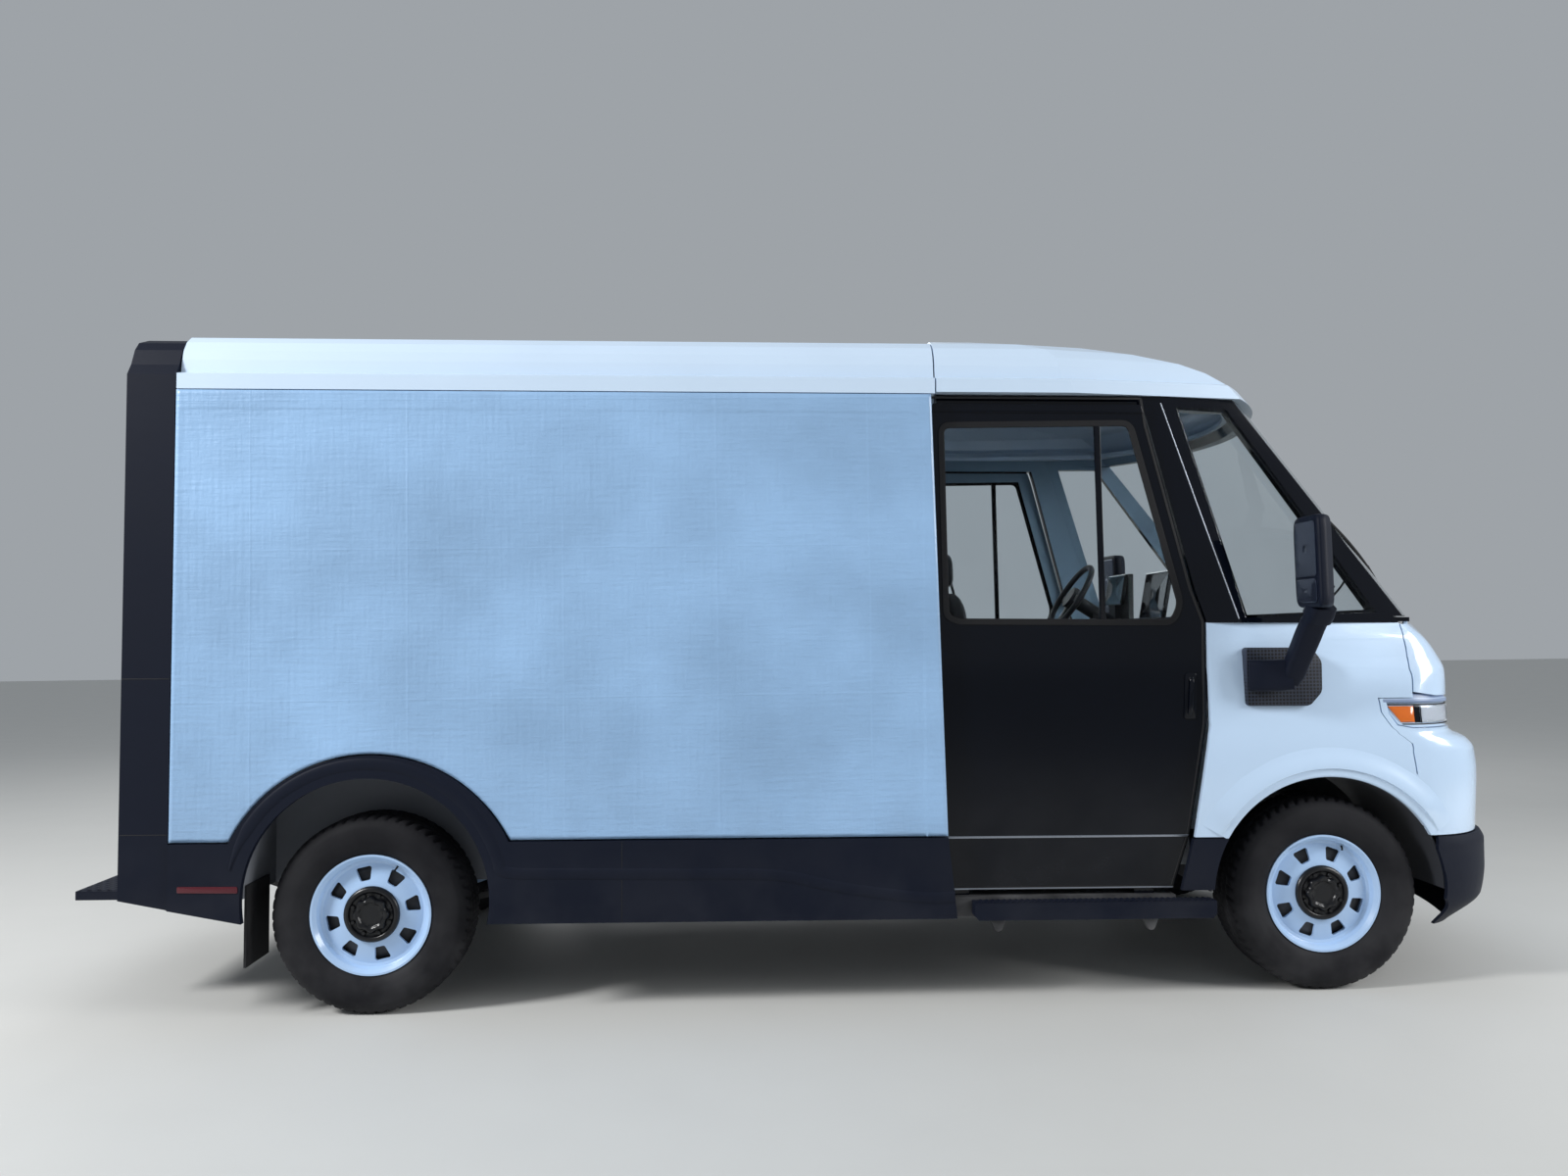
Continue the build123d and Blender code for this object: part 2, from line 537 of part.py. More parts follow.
STEP_Z = 430.0
with BuildPart() as side_sills:
    for side in SIDES.values():
        add(side_box(side, (REAR_WHEEL[0] + REAR_ARCH_RADIUS + 63, 1300), SILL_Y,
                     (CLADDING_LOW_Z + 2, STEP_Z)))
write("side_sills", side_sills.part)

with BuildPart() as cargo_floor:
    for x_from, x_to, half in ((REAR_DOOR_X[1], PORTAL_FRONT_X, PORTAL_OPENING_Y),
                               (PORTAL_FRONT_X, WHEELHOUSE[0][0], LINER_INNER_Y),
                               (WHEELHOUSE[0][0], WHEELHOUSE[-1][0], WHEELHOUSE_INNER_Y),
                               (WHEELHOUSE[-1][0], BULKHEAD_X[0], LINER_INNER_Y)):
        add(box_between((x_from, -half, FLOOR_LOW_Z), (x_to, half, FLOOR_Z)))
write("cargo_floor", cargo_floor.part)

with BuildPart() as cab_floor:
    for x_from, x_to, half in ((*BULKHEAD_X, LINER_INNER_Y), (BULKHEAD_X[1], FIREWALL_X[1], SILL_Y[0])):
        add(box_between((x_from, -half, FLOOR_LOW_Z), (x_to, half, FLOOR_Z)))
    for side in SIDES.values():
        add(side_box(side, (BULKHEAD_X[1], 1440), (SILL_Y[0] - 20, SILL_Y[0]), (RAIL_LOW_Z, FLOOR_LOW_Z)))
write("cab_floor", cab_floor.part)

# ---------------------------------------------------------------- cargo box sides
with BuildPart() as side_liners:
    for side in SIDES.values():
        add(side_box(side, (PORTAL_FRONT_X, BULKHEAD_X[1]), (LINER_INNER_Y, LINER_INNER_Y + LINER_THICKNESS),
                     (FLOOR_LOW_Z, ROOF_LOW_Z)))
        add(side_block(WHEELHOUSE, side * WHEELHOUSE_INNER_Y, side * PANEL_INNER_Y), mode=Mode.SUBTRACT)
write("side_liners", side_liners.part)

with BuildPart() as wheelhouses:
    for side in SIDES.values():
        with BuildPart(mode=Mode.PRIVATE) as tub:
            add(side_block(WHEELHOUSE, side * WHEELHOUSE_INNER_Y, side * PANEL_INNER_Y))
            add(side_block(wheelhouse_outline(10, 449), side * (WHEELHOUSE_INNER_Y + 10),
                           side * (PANEL_INNER_Y + 1)), mode=Mode.SUBTRACT)
        add(tub.part)
write("wheelhouses", wheelhouses.part)

DOOR_REAR_X = 300.0
with BuildPart() as wall_battens:
    for side in SIDES.values():
        for x in (PORTAL_FRONT_X + 40, WHEELHOUSE[-1][0] + 90, DOOR_REAR_X - DOOR_TRAVEL - 65):
            add(side_box(side, (x - 35, x + 35), (LINER_INNER_Y + LINER_THICKNESS, PANEL_INNER_Y),
                         (FLOOR_Z, ROOF_LOW_Z)))
write("wall_battens", wall_battens.part)

PANEL_REAR_X = PORTAL_FRONT_X + 4
PANEL_SIDE = [(PANEL_REAR_X, BELT_Z), (CARGO_FRONT_LOW_X, BELT_Z), (CARGO_FRONT_TOP_X, RAIL_Z),
              (PANEL_REAR_X, RAIL_Z)]
CLADDING_FRONT_X = CARGO_FRONT_LOW_X + 34
rear_x = REAR_WHEEL[0]
CLADDING_SIDE = [(PANEL_REAR_X, BELT_Z - SEAM), (PANEL_REAR_X, 415), (rear_x - 464, 357), (rear_x - 432, 357),
                 (rear_x - 432, 480), (rear_x + 448, 480), (rear_x + 448, CLADDING_LOW_Z),
                 (CLADDING_FRONT_X, CLADDING_LOW_Z), (CARGO_FRONT_LOW_X, BELT_Z - SEAM)]
flare_centre = (REAR_WHEEL[0] + 13, REAR_WHEEL[1] + FLARE_RISE)
rear_arch_centre = (REAR_WHEEL[0], REAR_WHEEL[1] + REAR_ARCH_RISE)
with BuildPart() as side_panels:
    for side in SIDES.values():
        add(side_block(PANEL_SIDE, side * PANEL_INNER_Y, side * HALF_WIDTH))
        add(disc_block(flare_centre, FLARE_RADIUS + SEAM, side * (PANEL_INNER_Y - 1), side * WIDE),
            mode=Mode.SUBTRACT)
write("side_panels", side_panels.part)

with BuildPart() as side_cladding:
    for side in SIDES.values():
        with BuildPart(mode=Mode.PRIVATE) as flare:
            add(disc_block(flare_centre, FLARE_RADIUS, side * CLADDING_INNER_Y,
                           side * (HALF_WIDTH + CLADDING_BULGE)))
            add(side_box(side, (PANEL_REAR_X, rear_x + 800), (CLADDING_INNER_Y - 1, HALF_WIDTH + 50),
                         (BELT_Z - 40, 1300)), mode=Mode.INTERSECT)
            add(side_block(CLADDING_SIDE, side * CLADDING_INNER_Y, side * (HALF_WIDTH + CLADDING_BULGE)))
            add(disc_block(rear_arch_centre, REAR_ARCH_RADIUS, side * (CLADDING_INNER_Y - 1), side * WIDE),
                mode=Mode.SUBTRACT)
        add(flare.part)
write("side_cladding", side_cladding.part)

# ---------------------------------------------------------------- rear end
PORTAL_OUTER = [(HALF_WIDTH - narrowing, z) for narrowing, z in (
    (0, 410), (0, 2530), (30, 2575), (58, 2640), (90, 2676), (170, 2705), (HALF_WIDTH, 2735))]
PORTAL_TOP_Z = 2420.0
with BuildPart() as rear_portal:
    add(front_block(mirrored_outline(PORTAL_OUTER), REAR_FACE_X, PORTAL_FRONT_X))
    add(box_between((REAR_FACE_X - 1, -PORTAL_OPENING_Y, 409),
                    (PORTAL_FRONT_X + 1, PORTAL_OPENING_Y, PORTAL_TOP_Z)), mode=Mode.SUBTRACT)
    add(side_block([(REAR_FACE_X - 1, 400), (PORTAL_FRONT_X + 1, 400), (PORTAL_FRONT_X + 1, 416),
                    (REAR_FACE_X - 1, 454)], -WIDE, WIDE), mode=Mode.SUBTRACT)
write("rear_portal", rear_portal.part)

write("rear_door", box_between((REAR_DOOR_X[0], -PORTAL_OPENING_Y, FLOOR_Z),
                               (REAR_DOOR_X[1], PORTAL_OPENING_Y, PORTAL_TOP_Z)))

with BuildPart() as rear_bumper:
    add(box_between((REAR_FACE_X, -PORTAL_OPENING_Y, REAR_STEP_Z[0]),
                    (REAR_DOOR_X[1], PORTAL_OPENING_Y, FLOOR_Z)))
    add(box_between((REAR_FACE_X - STEP_DEPTH, 250 - HALF_WIDTH, REAR_STEP_Z[0]),
                    (REAR_FACE_X, HALF_WIDTH - 250, REAR_STEP_Z[1])))
write("rear_bumper", rear_bumper.part)

with BuildPart() as tail_lamps:
    for side in SIDES.values():
        add(side_box(side, (REAR_FACE_X - 8, REAR_FACE_X), (HALF_WIDTH - 125, HALF_WIDTH - 40), (900, 1560)))
write("tail_lamps", tail_lamps.part)

with BuildPart() as mud_flaps:
    for side in SIDES.values():
        x = WHEELHOUSE[0][0] + 10
        add(side_box(side, (x, x + 10), (HALF_TRACK - 100, HALF_TRACK + 130), (178, 500)))
write("mud_flaps", mud_flaps.part)

# ---------------------------------------------------------------- cab: arches, trims, firewall, dash, seats
with BuildPart() as arch_liners:
    for side in SIDES.values():
        with BuildPart(mode=Mode.PRIVATE) as shell:
            add(disc_block(FRONT_WHEEL, FRONT_ARCH_RADIUS + ARCH_LINER_THICKNESS, side * (RAIL_Y[1] + 10),
                           side * (HALF_WIDTH + 70)))
            add(disc_block(FRONT_WHEEL, FRONT_ARCH_RADIUS, side * RAIL_Y[1], side * (HALF_WIDTH + 80)),
                mode=Mode.SUBTRACT)
        for levels, low_z, high_z in ((NOSE_LEVELS, SEAM_Z, 1200), (BUMPER_LEVELS, 440, SEAM_Z)):
            with BuildPart(mode=Mode.PRIVATE) as trimmed:
                add(shell.part)
                add(nose_solid(levels, SKIN_THICKNESS + SEAL_GAP), mode=Mode.INTERSECT)
                add(side_box(side, (NOSE_ROOT_X, 2600), (RAIL_Y[1], HALF_WIDTH + 80), (low_z, high_z)),
                    mode=Mode.INTERSECT)
            add(trimmed.part)
write("arch_liners", arch_liners.part)

with BuildPart() as arch_trims:
    for side in SIDES.values():
        add(side_block([(1318, 452), (1370, SEAM_Z - SEAM), (FRONT_WHEEL[0], SEAM_Z - SEAM),
                        (FRONT_WHEEL[0], 452)], side * CLADDING_INNER_Y, side * (HALF_WIDTH + 5)))
        add(disc_block(FRONT_WHEEL, FRONT_ARCH_RADIUS, side * ARCH_INNER_Y, side * WIDE), mode=Mode.SUBTRACT)
write("arch_trims", arch_trims.part)

write("firewall", box_between((FIREWALL_X[0], 10 - DOOR_INNER_Y, FLOOR_Z),
                              (FIREWALL_X[1], DOOR_INNER_Y - 10, SILL_Z)))

with BuildPart() as cooling_pack:
    half = RAIL_Y[1] + 20
    add(box_between((RAIL_X[1], -half, 480), (RAIL_X[1] + 60, half, 1150)))
    for height, core in ((520, bumper_core), (900, nose_core)):
        with BuildPart(mode=Mode.PRIVATE) as block:
            add(box_between((RAIL_X[1] + 30, 80 - half, height), (2900, half - 80, height + 100)))
            add(core, mode=Mode.INTERSECT)
        add(block.part)
write("cooling_pack", cooling_pack.part)

DASH_REAR_X = 1340.0
DASH_TOP_Z = SILL_Z + 24
DASH_HALF_WIDTH = HALF_WIDTH - 140
with BuildPart() as dashboard:
    add(lofted([cab_section(z, FRAME_DEPTH + 15) for z in (SILL_Z, DASH_TOP_Z)]))
    add(box_between((DASH_REAR_X, -DASH_HALF_WIDTH, SILL_Z), (2700, DASH_HALF_WIDTH, DASH_TOP_Z)),
        mode=Mode.INTERSECT)
    add(side_block([(DASH_REAR_X, SILL_Z), (DASH_REAR_X, 1380), (FIREWALL_X[0], 1200),
                    (FIREWALL_X[0], SILL_Z)], -DASH_HALF_WIDTH, DASH_HALF_WIDTH))
    add(box_between((1560, 290, DASH_TOP_Z), (1585, 620, 1800)))
    add(box_between((1530, 420, DASH_TOP_Z), (1560, 490, 1640)))
write("dashboard", dashboard.part)

STEERING_HUB = (1290.0, 420.0, 1680.0)
COLUMN_SLOPE = 32.0              # degrees below level, going forward
SHAFT_RADIUS = 12.0
column_plane = Plane(origin=STEERING_HUB, x_dir=(0, 1, 0),
                     z_dir=(cos(radians(COLUMN_SLOPE)), 0, -sin(radians(COLUMN_SLOPE))))
with BuildPart() as steering_column:
    with BuildSketch(column_plane.offset(55)):
        Circle(36)
    extrude(amount=190)
    add(box_between((1402, STEERING_HUB[1] - 34, DASH_TOP_Z - 60), (1462, STEERING_HUB[1] + 34, 1610)))
    add(box_between((1200, 0, DASH_TOP_Z - 400), (1700, 800, DASH_TOP_Z)), mode=Mode.SUBTRACT)
    with BuildSketch(column_plane):
        Circle(SHAFT_RADIUS + PIN_CLEARANCE)
    extrude(amount=150, mode=Mode.SUBTRACT)
write("steering_column", steering_column.part)

with BuildPart() as steering_wheel:
    with BuildSketch(Plane(origin=STEERING_HUB, x_dir=(0, 1, 0), z_dir=(sin(radians(COLUMN_SLOPE)), 0,
                                                                       cos(radians(COLUMN_SLOPE))))):
        with Locations((188, 0)):
            Circle(15)
    revolve(axis=Axis(STEERING_HUB, column_plane.z_dir))
    with BuildSketch(column_plane.offset(5)):
        Circle(62)
        for turn in (0, 180, 270):
            with Locations(Rot(0, 0, turn) * Location((110, 0))):
                Rectangle(142, 34)
    extrude(amount=14)
    with BuildSketch(column_plane.offset(-12)):
        Circle(58)
    extrude(amount=52)
    with BuildSketch(column_plane.offset(30)):
        Circle(SHAFT_RADIUS)
    extrude(amount=115)
write("steering_wheel", steering_wheel.part)

SEAT_Y = 440.0
with BuildPart() as seats:
    for side in SIDES.values():
        for x_span, half, z_span in (((540, 900), 180, (FLOOR_Z, 1010)), ((480, 980), 245, (1010, 1130))):
            add(side_box(side, x_span, (SEAT_Y - half, SEAT_Y + half), z_span))
        add(side_block([(480, 1130), (590, 1130), (505, 1690), (430, 1690)],
                       side * (SEAT_Y - 235), side * (SEAT_Y + 235)))
        add(side_block([(440, 1690), (495, 1690), (480, 1860), (420, 1860)],
                       side * (SEAT_Y - 130), side * (SEAT_Y + 130)))
write("seats", seats.part)

BULKHEAD_DOORWAY = (-570.0, 70.0)
BULKHEAD_TOP_Z = 2420.0          # of the doorway
with BuildPart() as bulkhead:
    add(front_block([(-LINER_INNER_Y, FLOOR_Z), (LINER_INNER_Y, FLOOR_Z), *mirrored_outline(ROOF_INNER)],
                    *BULKHEAD_X))
    add(box_between((BULKHEAD_X[0] - 1, BULKHEAD_DOORWAY[0], FLOOR_Z),
                    (BULKHEAD_X[1] + 1, BULKHEAD_DOORWAY[1], BULKHEAD_TOP_Z)), mode=Mode.SUBTRACT)
write("bulkhead", bulkhead.part)
write("bulkhead_door", box_between((BULKHEAD_X[1] + 0.3, BULKHEAD_DOORWAY[0] - 15, FLOOR_Z + 6),
                                   (BULKHEAD_X[1] + 26, BULKHEAD_DOORWAY[1] + 15, BULKHEAD_TOP_Z + 12)))

# ---------------------------------------------------------------- sliding side doors
DOOR_LOW_Z = 452.0
DOOR_SIDE = [(DOOR_REAR_X, DOOR_LOW_Z), (1299, DOOR_LOW_Z), (1371, 670), (1446, 1116), (1447, 1540),
             (1396, 1675), (1216, 2355), (1197, DOOR_TOP_Z), (DOOR_REAR_X, DOOR_TOP_Z)]
DOOR_WINDOW = [(356, 2350), (372, 1567), (418, 1543), (1312, 1538), (1346, 1615), (1142, 2363)]
for name, side in SIDES.items():
    with BuildPart() as door:
        add(side_block(DOOR_SIDE, side * DOOR_INNER_Y, side * DOOR_OUTER_Y))
        add(side_block(DOOR_WINDOW, side * (DOOR_INNER_Y - 1), side * WIDE), mode=Mode.SUBTRACT)
        for x in (420, 1180):
            add(side_box(side, (x - 40, x + 40), (DOOR_INNER_Y + 8, DOOR_OUTER_Y - 8),
                         (STEP_Z + 0.3, DOOR_LOW_Z)))
    write(f"door_{name}", door.part)
    write(f"door_glass_{name}", side_block(DOOR_WINDOW, side * (DOOR_OUTER_Y - 10),
                                           side * (DOOR_OUTER_Y - 10 + GLASS_THICKNESS)))

# ---------------------------------------------------------------- mirrors and steps
def mirror_loft(side, levels):
    """A solid through plan outlines; each point is (x, how far outside the body's side)."""
    sections = []
    for z, outline in levels:
        with BuildSketch(Plane.XY.offset(z)) as section:
            with BuildLine():
                Polyline(*[(x, side * (HALF_WIDTH + out)) for x, out in outline], close=True)
            make_face()
        sections.append(section.sketch)
    return lofted(sections)


with BuildPart() as mirrors:
    for side in SIDES.values():
        with BuildPart(mode=Mode.PRIVATE) as mirror:
            add(side_block([(1598, 1195), (1860, 1195), (1913, 1250), (1913, 1380), (1870, 1433), (1598, 1433)],
                           side * (HALF_WIDTH - 50), side * (HALF_WIDTH + 4)))
            add(side_block([(1588, 1262), (1790, 1262), (1812, 1330), (1806, 1382), (1588, 1382)],
                           side * (HALF_WIDTH - 20), side * (HALF_WIDTH + 90)))
            add(mirror_loft(side, [(1300, [(1710, 24), (1806, 24), (1806, 88), (1710, 88)]),
                                   (1480, [(1730, 70), (1838, 70), (1838, 150), (1730, 150)]),
                                   (1608, [(1760, 165), (1852, 165), (1852, 245), (1760, 245)])]))
            add(mirror_loft(side, [(z, [(1764, 92 + e), (1746, 330 - e), (1754, 340 - e), (1780 - e, 340 - e),
                                        (1830 - e, 290 - e), (1852 - e, 215), (1838 - e, 120 + e),
                                        (1800 - e, 92 + e)])
                                   for z, e in ((1592, 14), (1606, 0), (1938, 0), (1955, 18))]))
            add(nose_outer, mode=Mode.SUBTRACT)
        add(mirror.part)
write("mirrors", mirrors.part)

with BuildPart() as side_steps:
    for side in SIDES.values():
        add(side_block([(464, 418), (464, 366), (480, 350), (1427, 350), (1443, 366), (1443, 418)],
                       side * CLADDING_INNER_Y, side * (HALF_WIDTH + 48)))
write("side_steps", side_steps.part)

# ---------------------------------------------------------------- rear axle and springs
AXLE_RADIUS = 55.0
with BuildPart() as rear_axle:
    axle_end = HALF_TRACK - 140
    add(disc_block(REAR_WHEEL, AXLE_RADIUS, -axle_end, axle_end))
    add(disc_block(REAR_WHEEL, 135, -170, 170))
    for side in SIDES.values():
        add(disc_block(REAR_WHEEL, 120, side * (axle_end - 14), side * axle_end))
        add(disc_block(REAR_WHEEL, SPINDLE_RADIUS, side * (axle_end - 20), side * (HALF_TRACK + 70)))
write("rear_axle", rear_axle.part)

SPRING_HALF_LENGTH = 620.0
SPRING_THICKNESS = 28.0
SPRING_Y = (RAIL_Y[0] + 8, RAIL_Y[1] - 8)
with BuildPart() as leaf_springs:
    for side in SIDES.values():
        x, low = REAR_WHEEL[0], REAR_WHEEL[1] - AXLE_RADIUS - SPRING_THICKNESS
        left, right, high = x - SPRING_HALF_LENGTH, x + SPRING_HALF_LENGTH, RAIL_LOW_Z - 70
        with BuildSketch(Plane.XZ.offset(-side * SPRING_Y[0])):
            with BuildLine():
                ThreePointArc((left, high), (x, low + SPRING_THICKNESS), (right, high))
                Line((right, high), (right, high - SPRING_THICKNESS))
                ThreePointArc((right, high - SPRING_THICKNESS), (x, low), (left, high - SPRING_THICKNESS))
                Line((left, high - SPRING_THICKNESS), (left, high))
            make_face()
        extrude(amount=side * (SPRING_Y[0] - SPRING_Y[1]))
        add(side_box(side, (x - 60, x + 60), SPRING_Y, (low + 10, REAR_WHEEL[1] - 20)))
        for end in (left, right):
            add(side_box(side, (end - 24, end + 24), SPRING_Y, (high - 24, RAIL_LOW_Z)))
        add(disc_block(REAR_WHEEL, AXLE_RADIUS, side * RAIL_Y[0], side * RAIL_Y[1]), mode=Mode.SUBTRACT)
write("leaf_springs", leaf_springs.part)

# ---------------------------------------------------------------- front suspension, in the ground's frame
KINGPIN_Y = HALF_TRACK - 70
KINGPIN_X = FRONT_AXLE_X
PIN_RADIUS = 12.0
LOWER_ARM_Z = (TYRE_RADIUS - 160, TYRE_RADIUS - 140)
UPPER_ARM_Z = (TYRE_RADIUS + 140, TYRE_RADIUS + 160)
STEER_ARM = 90.0
RACK_RADIUS = 14.0
RACK_X = KINGPIN_X - STEER_ARM
RACK_Z = TYRE_RADIUS - 115
BUSHING_Y = (RAIL_Y[0] - 70, RAIL_Y[0] - 28)
DAMPER_Y = KINGPIN_Y - 160
DAMPER_RADIUS = 44.0
rack_in_body = to_body(RACK_X, RACK_Z)

with BuildPart() as front_subframe:
    x, z = FRONT_WHEEL
    add(box_between((x - 45, -RAIL_Y[0], z - 155), (x + 140, RAIL_Y[0], z - 95)))
    for side in SIDES.values():
        add(side_box(side, (x - 60, x + 60), (RAIL_Y[0], RAIL_Y[1] - 10), (z - 155, RAIL_LOW_Z)))
        add(side_box(side, (rack_in_body[0] - 26, x - 40), BUSHING_Y, (z - 149, z - 87)))
        add(disc_block(rack_in_body, RACK_RADIUS + PIN_CLEARANCE, side * (BUSHING_Y[0] - 10),
                       side * (BUSHING_Y[1] + 10)), mode=Mode.SUBTRACT)
write("front_subframe", front_subframe.part)


def arm_plate(side, feet, foot_y, waist, z_span):
    """A suspension arm: wide at foot_y, waist wide beside the damper, with an eye for the kingpin."""
    with BuildPart() as plate:
        with BuildSketch(Plane.XY.offset(z_span[0])):
            with BuildLine():
                Polyline((KINGPIN_X - feet, side * foot_y), (KINGPIN_X - waist, side * DAMPER_Y),
                         (KINGPIN_X - 36, side * KINGPIN_Y), (KINGPIN_X + 36, side * KINGPIN_Y),
                         (KINGPIN_X + waist, side * DAMPER_Y), (KINGPIN_X + feet, side * foot_y), close=True)
            make_face()
            with Locations((KINGPIN_X, side * KINGPIN_Y)):
                Circle(36)
                Circle(PIN_RADIUS + PIN_CLEARANCE, mode=Mode.SUBTRACT)
        extrude(amount=z_span[1] - z_span[0])
    return plate.part


with BuildPart() as front_arms:
    for side in SIDES.values():
        add(arm_plate(side, 110, RAIL_Y[1] - 10, 55, LOWER_ARM_Z))
        with BuildPart(mode=Mode.PRIVATE) as upper:
            add(arm_plate(side, 130, RAIL_Y[1], 76, UPPER_ARM_Z))
            with Locations((KINGPIN_X, side * DAMPER_Y, sum(UPPER_ARM_Z) / 2)):
                Cylinder(DAMPER_RADIUS + 12, 40, mode=Mode.SUBTRACT)
        add(upper.part)
write("front_arms", front_arms.part, GROUND_SEAT)

with BuildPart() as front_dampers:
    for side in SIDES.values():
        with Locations((KINGPIN_X, side * DAMPER_Y, LOWER_ARM_Z[1])):
            Cylinder(DAMPER_RADIUS, 350, align=(Align.CENTER, Align.CENTER, Align.MIN))
        add(side_box(side, (KINGPIN_X - 60, KINGPIN_X + 60), (RAIL_Y[1], DAMPER_Y + 50),
                     (LOWER_ARM_Z[1] + 350, LOWER_ARM_Z[1] + 372)))
write("front_dampers", front_dampers.part, GROUND_SEAT)

for name, side in SIDES.items():
    with BuildPart() as knuckle:
        with Locations((KINGPIN_X, side * KINGPIN_Y, LOWER_ARM_Z[1] + 7)):
            Cylinder(30, UPPER_ARM_Z[0] - LOWER_ARM_Z[1] - 14, align=(Align.CENTER, Align.CENTER, Align.MIN))
        with Locations((KINGPIN_X, side * KINGPIN_Y, LOWER_ARM_Z[0] - 6)):
            Cylinder(PIN_RADIUS, UPPER_ARM_Z[1] - LOWER_ARM_Z[0] + 12,
                     align=(Align.CENTER, Align.CENTER, Align.MIN))
        add(disc_block((KINGPIN_X, TYRE_RADIUS), SPINDLE_RADIUS, side * KINGPIN_Y, side * (HALF_TRACK + 70)))
        add(side_box(side, (RACK_X - 16, KINGPIN_X), (KINGPIN_Y - 16, KINGPIN_Y + 16),
                     (RACK_Z + 20, RACK_Z + 44)))
        add(side_box(side, (KINGPIN_X, KINGPIN_X + 185), (KINGPIN_Y - 6, KINGPIN_Y + 37),
                     (TYRE_RADIUS - 55, TYRE_RADIUS + 55)))
    write(f"knuckle_{name}", knuckle.part, GROUND_SEAT)

with BuildPart() as steering_rack:
    add(disc_block((RACK_X, RACK_Z), RACK_RADIUS, -RAIL_Y[1] - 20, RAIL_Y[1] + 20))
    add(disc_block((RACK_X, RACK_Z), 9, -KINGPIN_Y, KINGPIN_Y))
    for side in SIDES.values():
        with Locations((RACK_X, side * KINGPIN_Y, RACK_Z)):
            Cylinder(18, 26)
write("steering_rack", steering_rack.part, GROUND_SEAT)

# ---------------------------------------------------------------- wheels, in the ground's frame
wall, half_tyre, half_rim = TYRE_RADIUS - RIM_RADIUS, TYRE_WIDTH / 2, RIM_WIDTH / 2
low_wall, mid_wall = RIM_RADIUS + wall * 8 / 31, RIM_RADIUS + wall * 18 / 31
# radius and distance from the middle, from the bead to the tread, and back inside
TYRE_PROFILE = [(RIM_SEAT_RADIUS + 2.2, half_rim - 13.5), (RIM_RADIUS + 0.4, half_rim - 9.6),
                (RIM_RADIUS + 6, half_rim - 2), (low_wall, half_tyre - 8), (mid_wall, half_tyre),
                (TYRE_RADIUS - 25, half_tyre - 8), (TYRE_RADIUS - 5, half_tyre - 25), (TYRE_RADIUS, half_tyre - 47)]
TYRE_INSIDE = [(TYRE_RADIUS - 17, half_tyre - 43), (TYRE_RADIUS - 40, half_tyre - 27), (mid_wall, half_tyre - 17),
               (low_wall, half_tyre - 25), (RIM_RADIUS + 10, half_rim - 19), (RIM_RADIUS - 2, half_rim - 37),
               (RIM_SEAT_RADIUS + 0.3, half_rim - 41)]
WELL_RADIUS = RIM_SEAT_RADIUS - 12
bore = SPINDLE_RADIUS + PIN_CLEARANCE
RIM_PROFILE = [(RIM_RADIUS, half_rim), (RIM_RADIUS - 8, half_rim), (RIM_RADIUS - 22, half_rim - 15),
               (RIM_RADIUS - 28, half_rim - 37), (RIM_RADIUS - 40, 62), (112, 80), (100, 84), (bore, 84), (bore, -25),
               (168, -25), (168, 0), (76, 0), (76, 52), (112, 66), (RIM_RADIUS - 40, 48), (WELL_RADIUS - 9, 40),
               (WELL_RADIUS - 9, -50), (WELL_RADIUS + 2, 15 - half_rim), (RIM_RADIUS - 10, -half_rim),
               (RIM_RADIUS, -half_rim), (RIM_RADIUS, 9 - half_rim), (RIM_SEAT_RADIUS + 2, 13 - half_rim),
               (RIM_SEAT_RADIUS, 43 - half_rim), (WELL_RADIUS, 58 - half_rim), (WELL_RADIUS, half_rim - 58),
               (RIM_SEAT_RADIUS, half_rim - 43), (RIM_SEAT_RADIUS + 2, half_rim - 13), (RIM_RADIUS, half_rim - 9)]
HAND_HOLES = 8
# each axle's wheels have stopped with their hand holes turned by this many degrees
WHEELS = {f"{end}_{name}": (x, side, turn)
          for end, x, turn in (("front", FRONT_AXLE_X, 25), ("rear", REAR_AXLE_X, 12))
          for name, side in SIDES.items()}
for name, (axle_x, side, turn) in WHEELS.items():
    centre = (axle_x, side * HALF_TRACK, TYRE_RADIUS)
    half_plane = Plane(origin=centre, x_dir=(1, 0, 0), z_dir=(0, 0, 1))
    with BuildPart() as tyre:
        with BuildSketch(half_plane):
            with BuildLine():
                Polyline(*TYRE_PROFILE, *[(r, -y) for r, y in reversed(TYRE_PROFILE)],
                         *[(r, -y) for r, y in reversed(TYRE_INSIDE)], *TYRE_INSIDE, close=True)
            make_face()
        revolve(axis=Axis(centre, (0, 1, 0)))
    write(f"tyre_{name}", tyre.part, GROUND_SEAT)
    with BuildPart() as rim:
        with BuildSketch(half_plane):
            with BuildLine():
                Polyline(*[(r, side * y) for r, y in RIM_PROFILE], close=True)
            make_face()
        revolve(axis=Axis(centre, (0, 1, 0)))
        with BuildSketch(Plane(origin=(centre[0], centre[1] + side * 30, centre[2]), x_dir=(1, 0, 0),
                               z_dir=(0, side, 0))) as hand_holes:
            with PolarLocations(161, HAND_HOLES, start_angle=turn):
                Trapezoid(68, 54, 75, rotation=90)
            fillet(hand_holes.vertices(), 9)
        extrude(amount=90, mode=Mode.SUBTRACT)
    write(f"rim_{name}", rim.part, GROUND_SEAT)
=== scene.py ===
import json
from math import cos, pi, radians, sin

import bmesh
import bpy
import numpy as np
from mathutils import Matrix, Vector


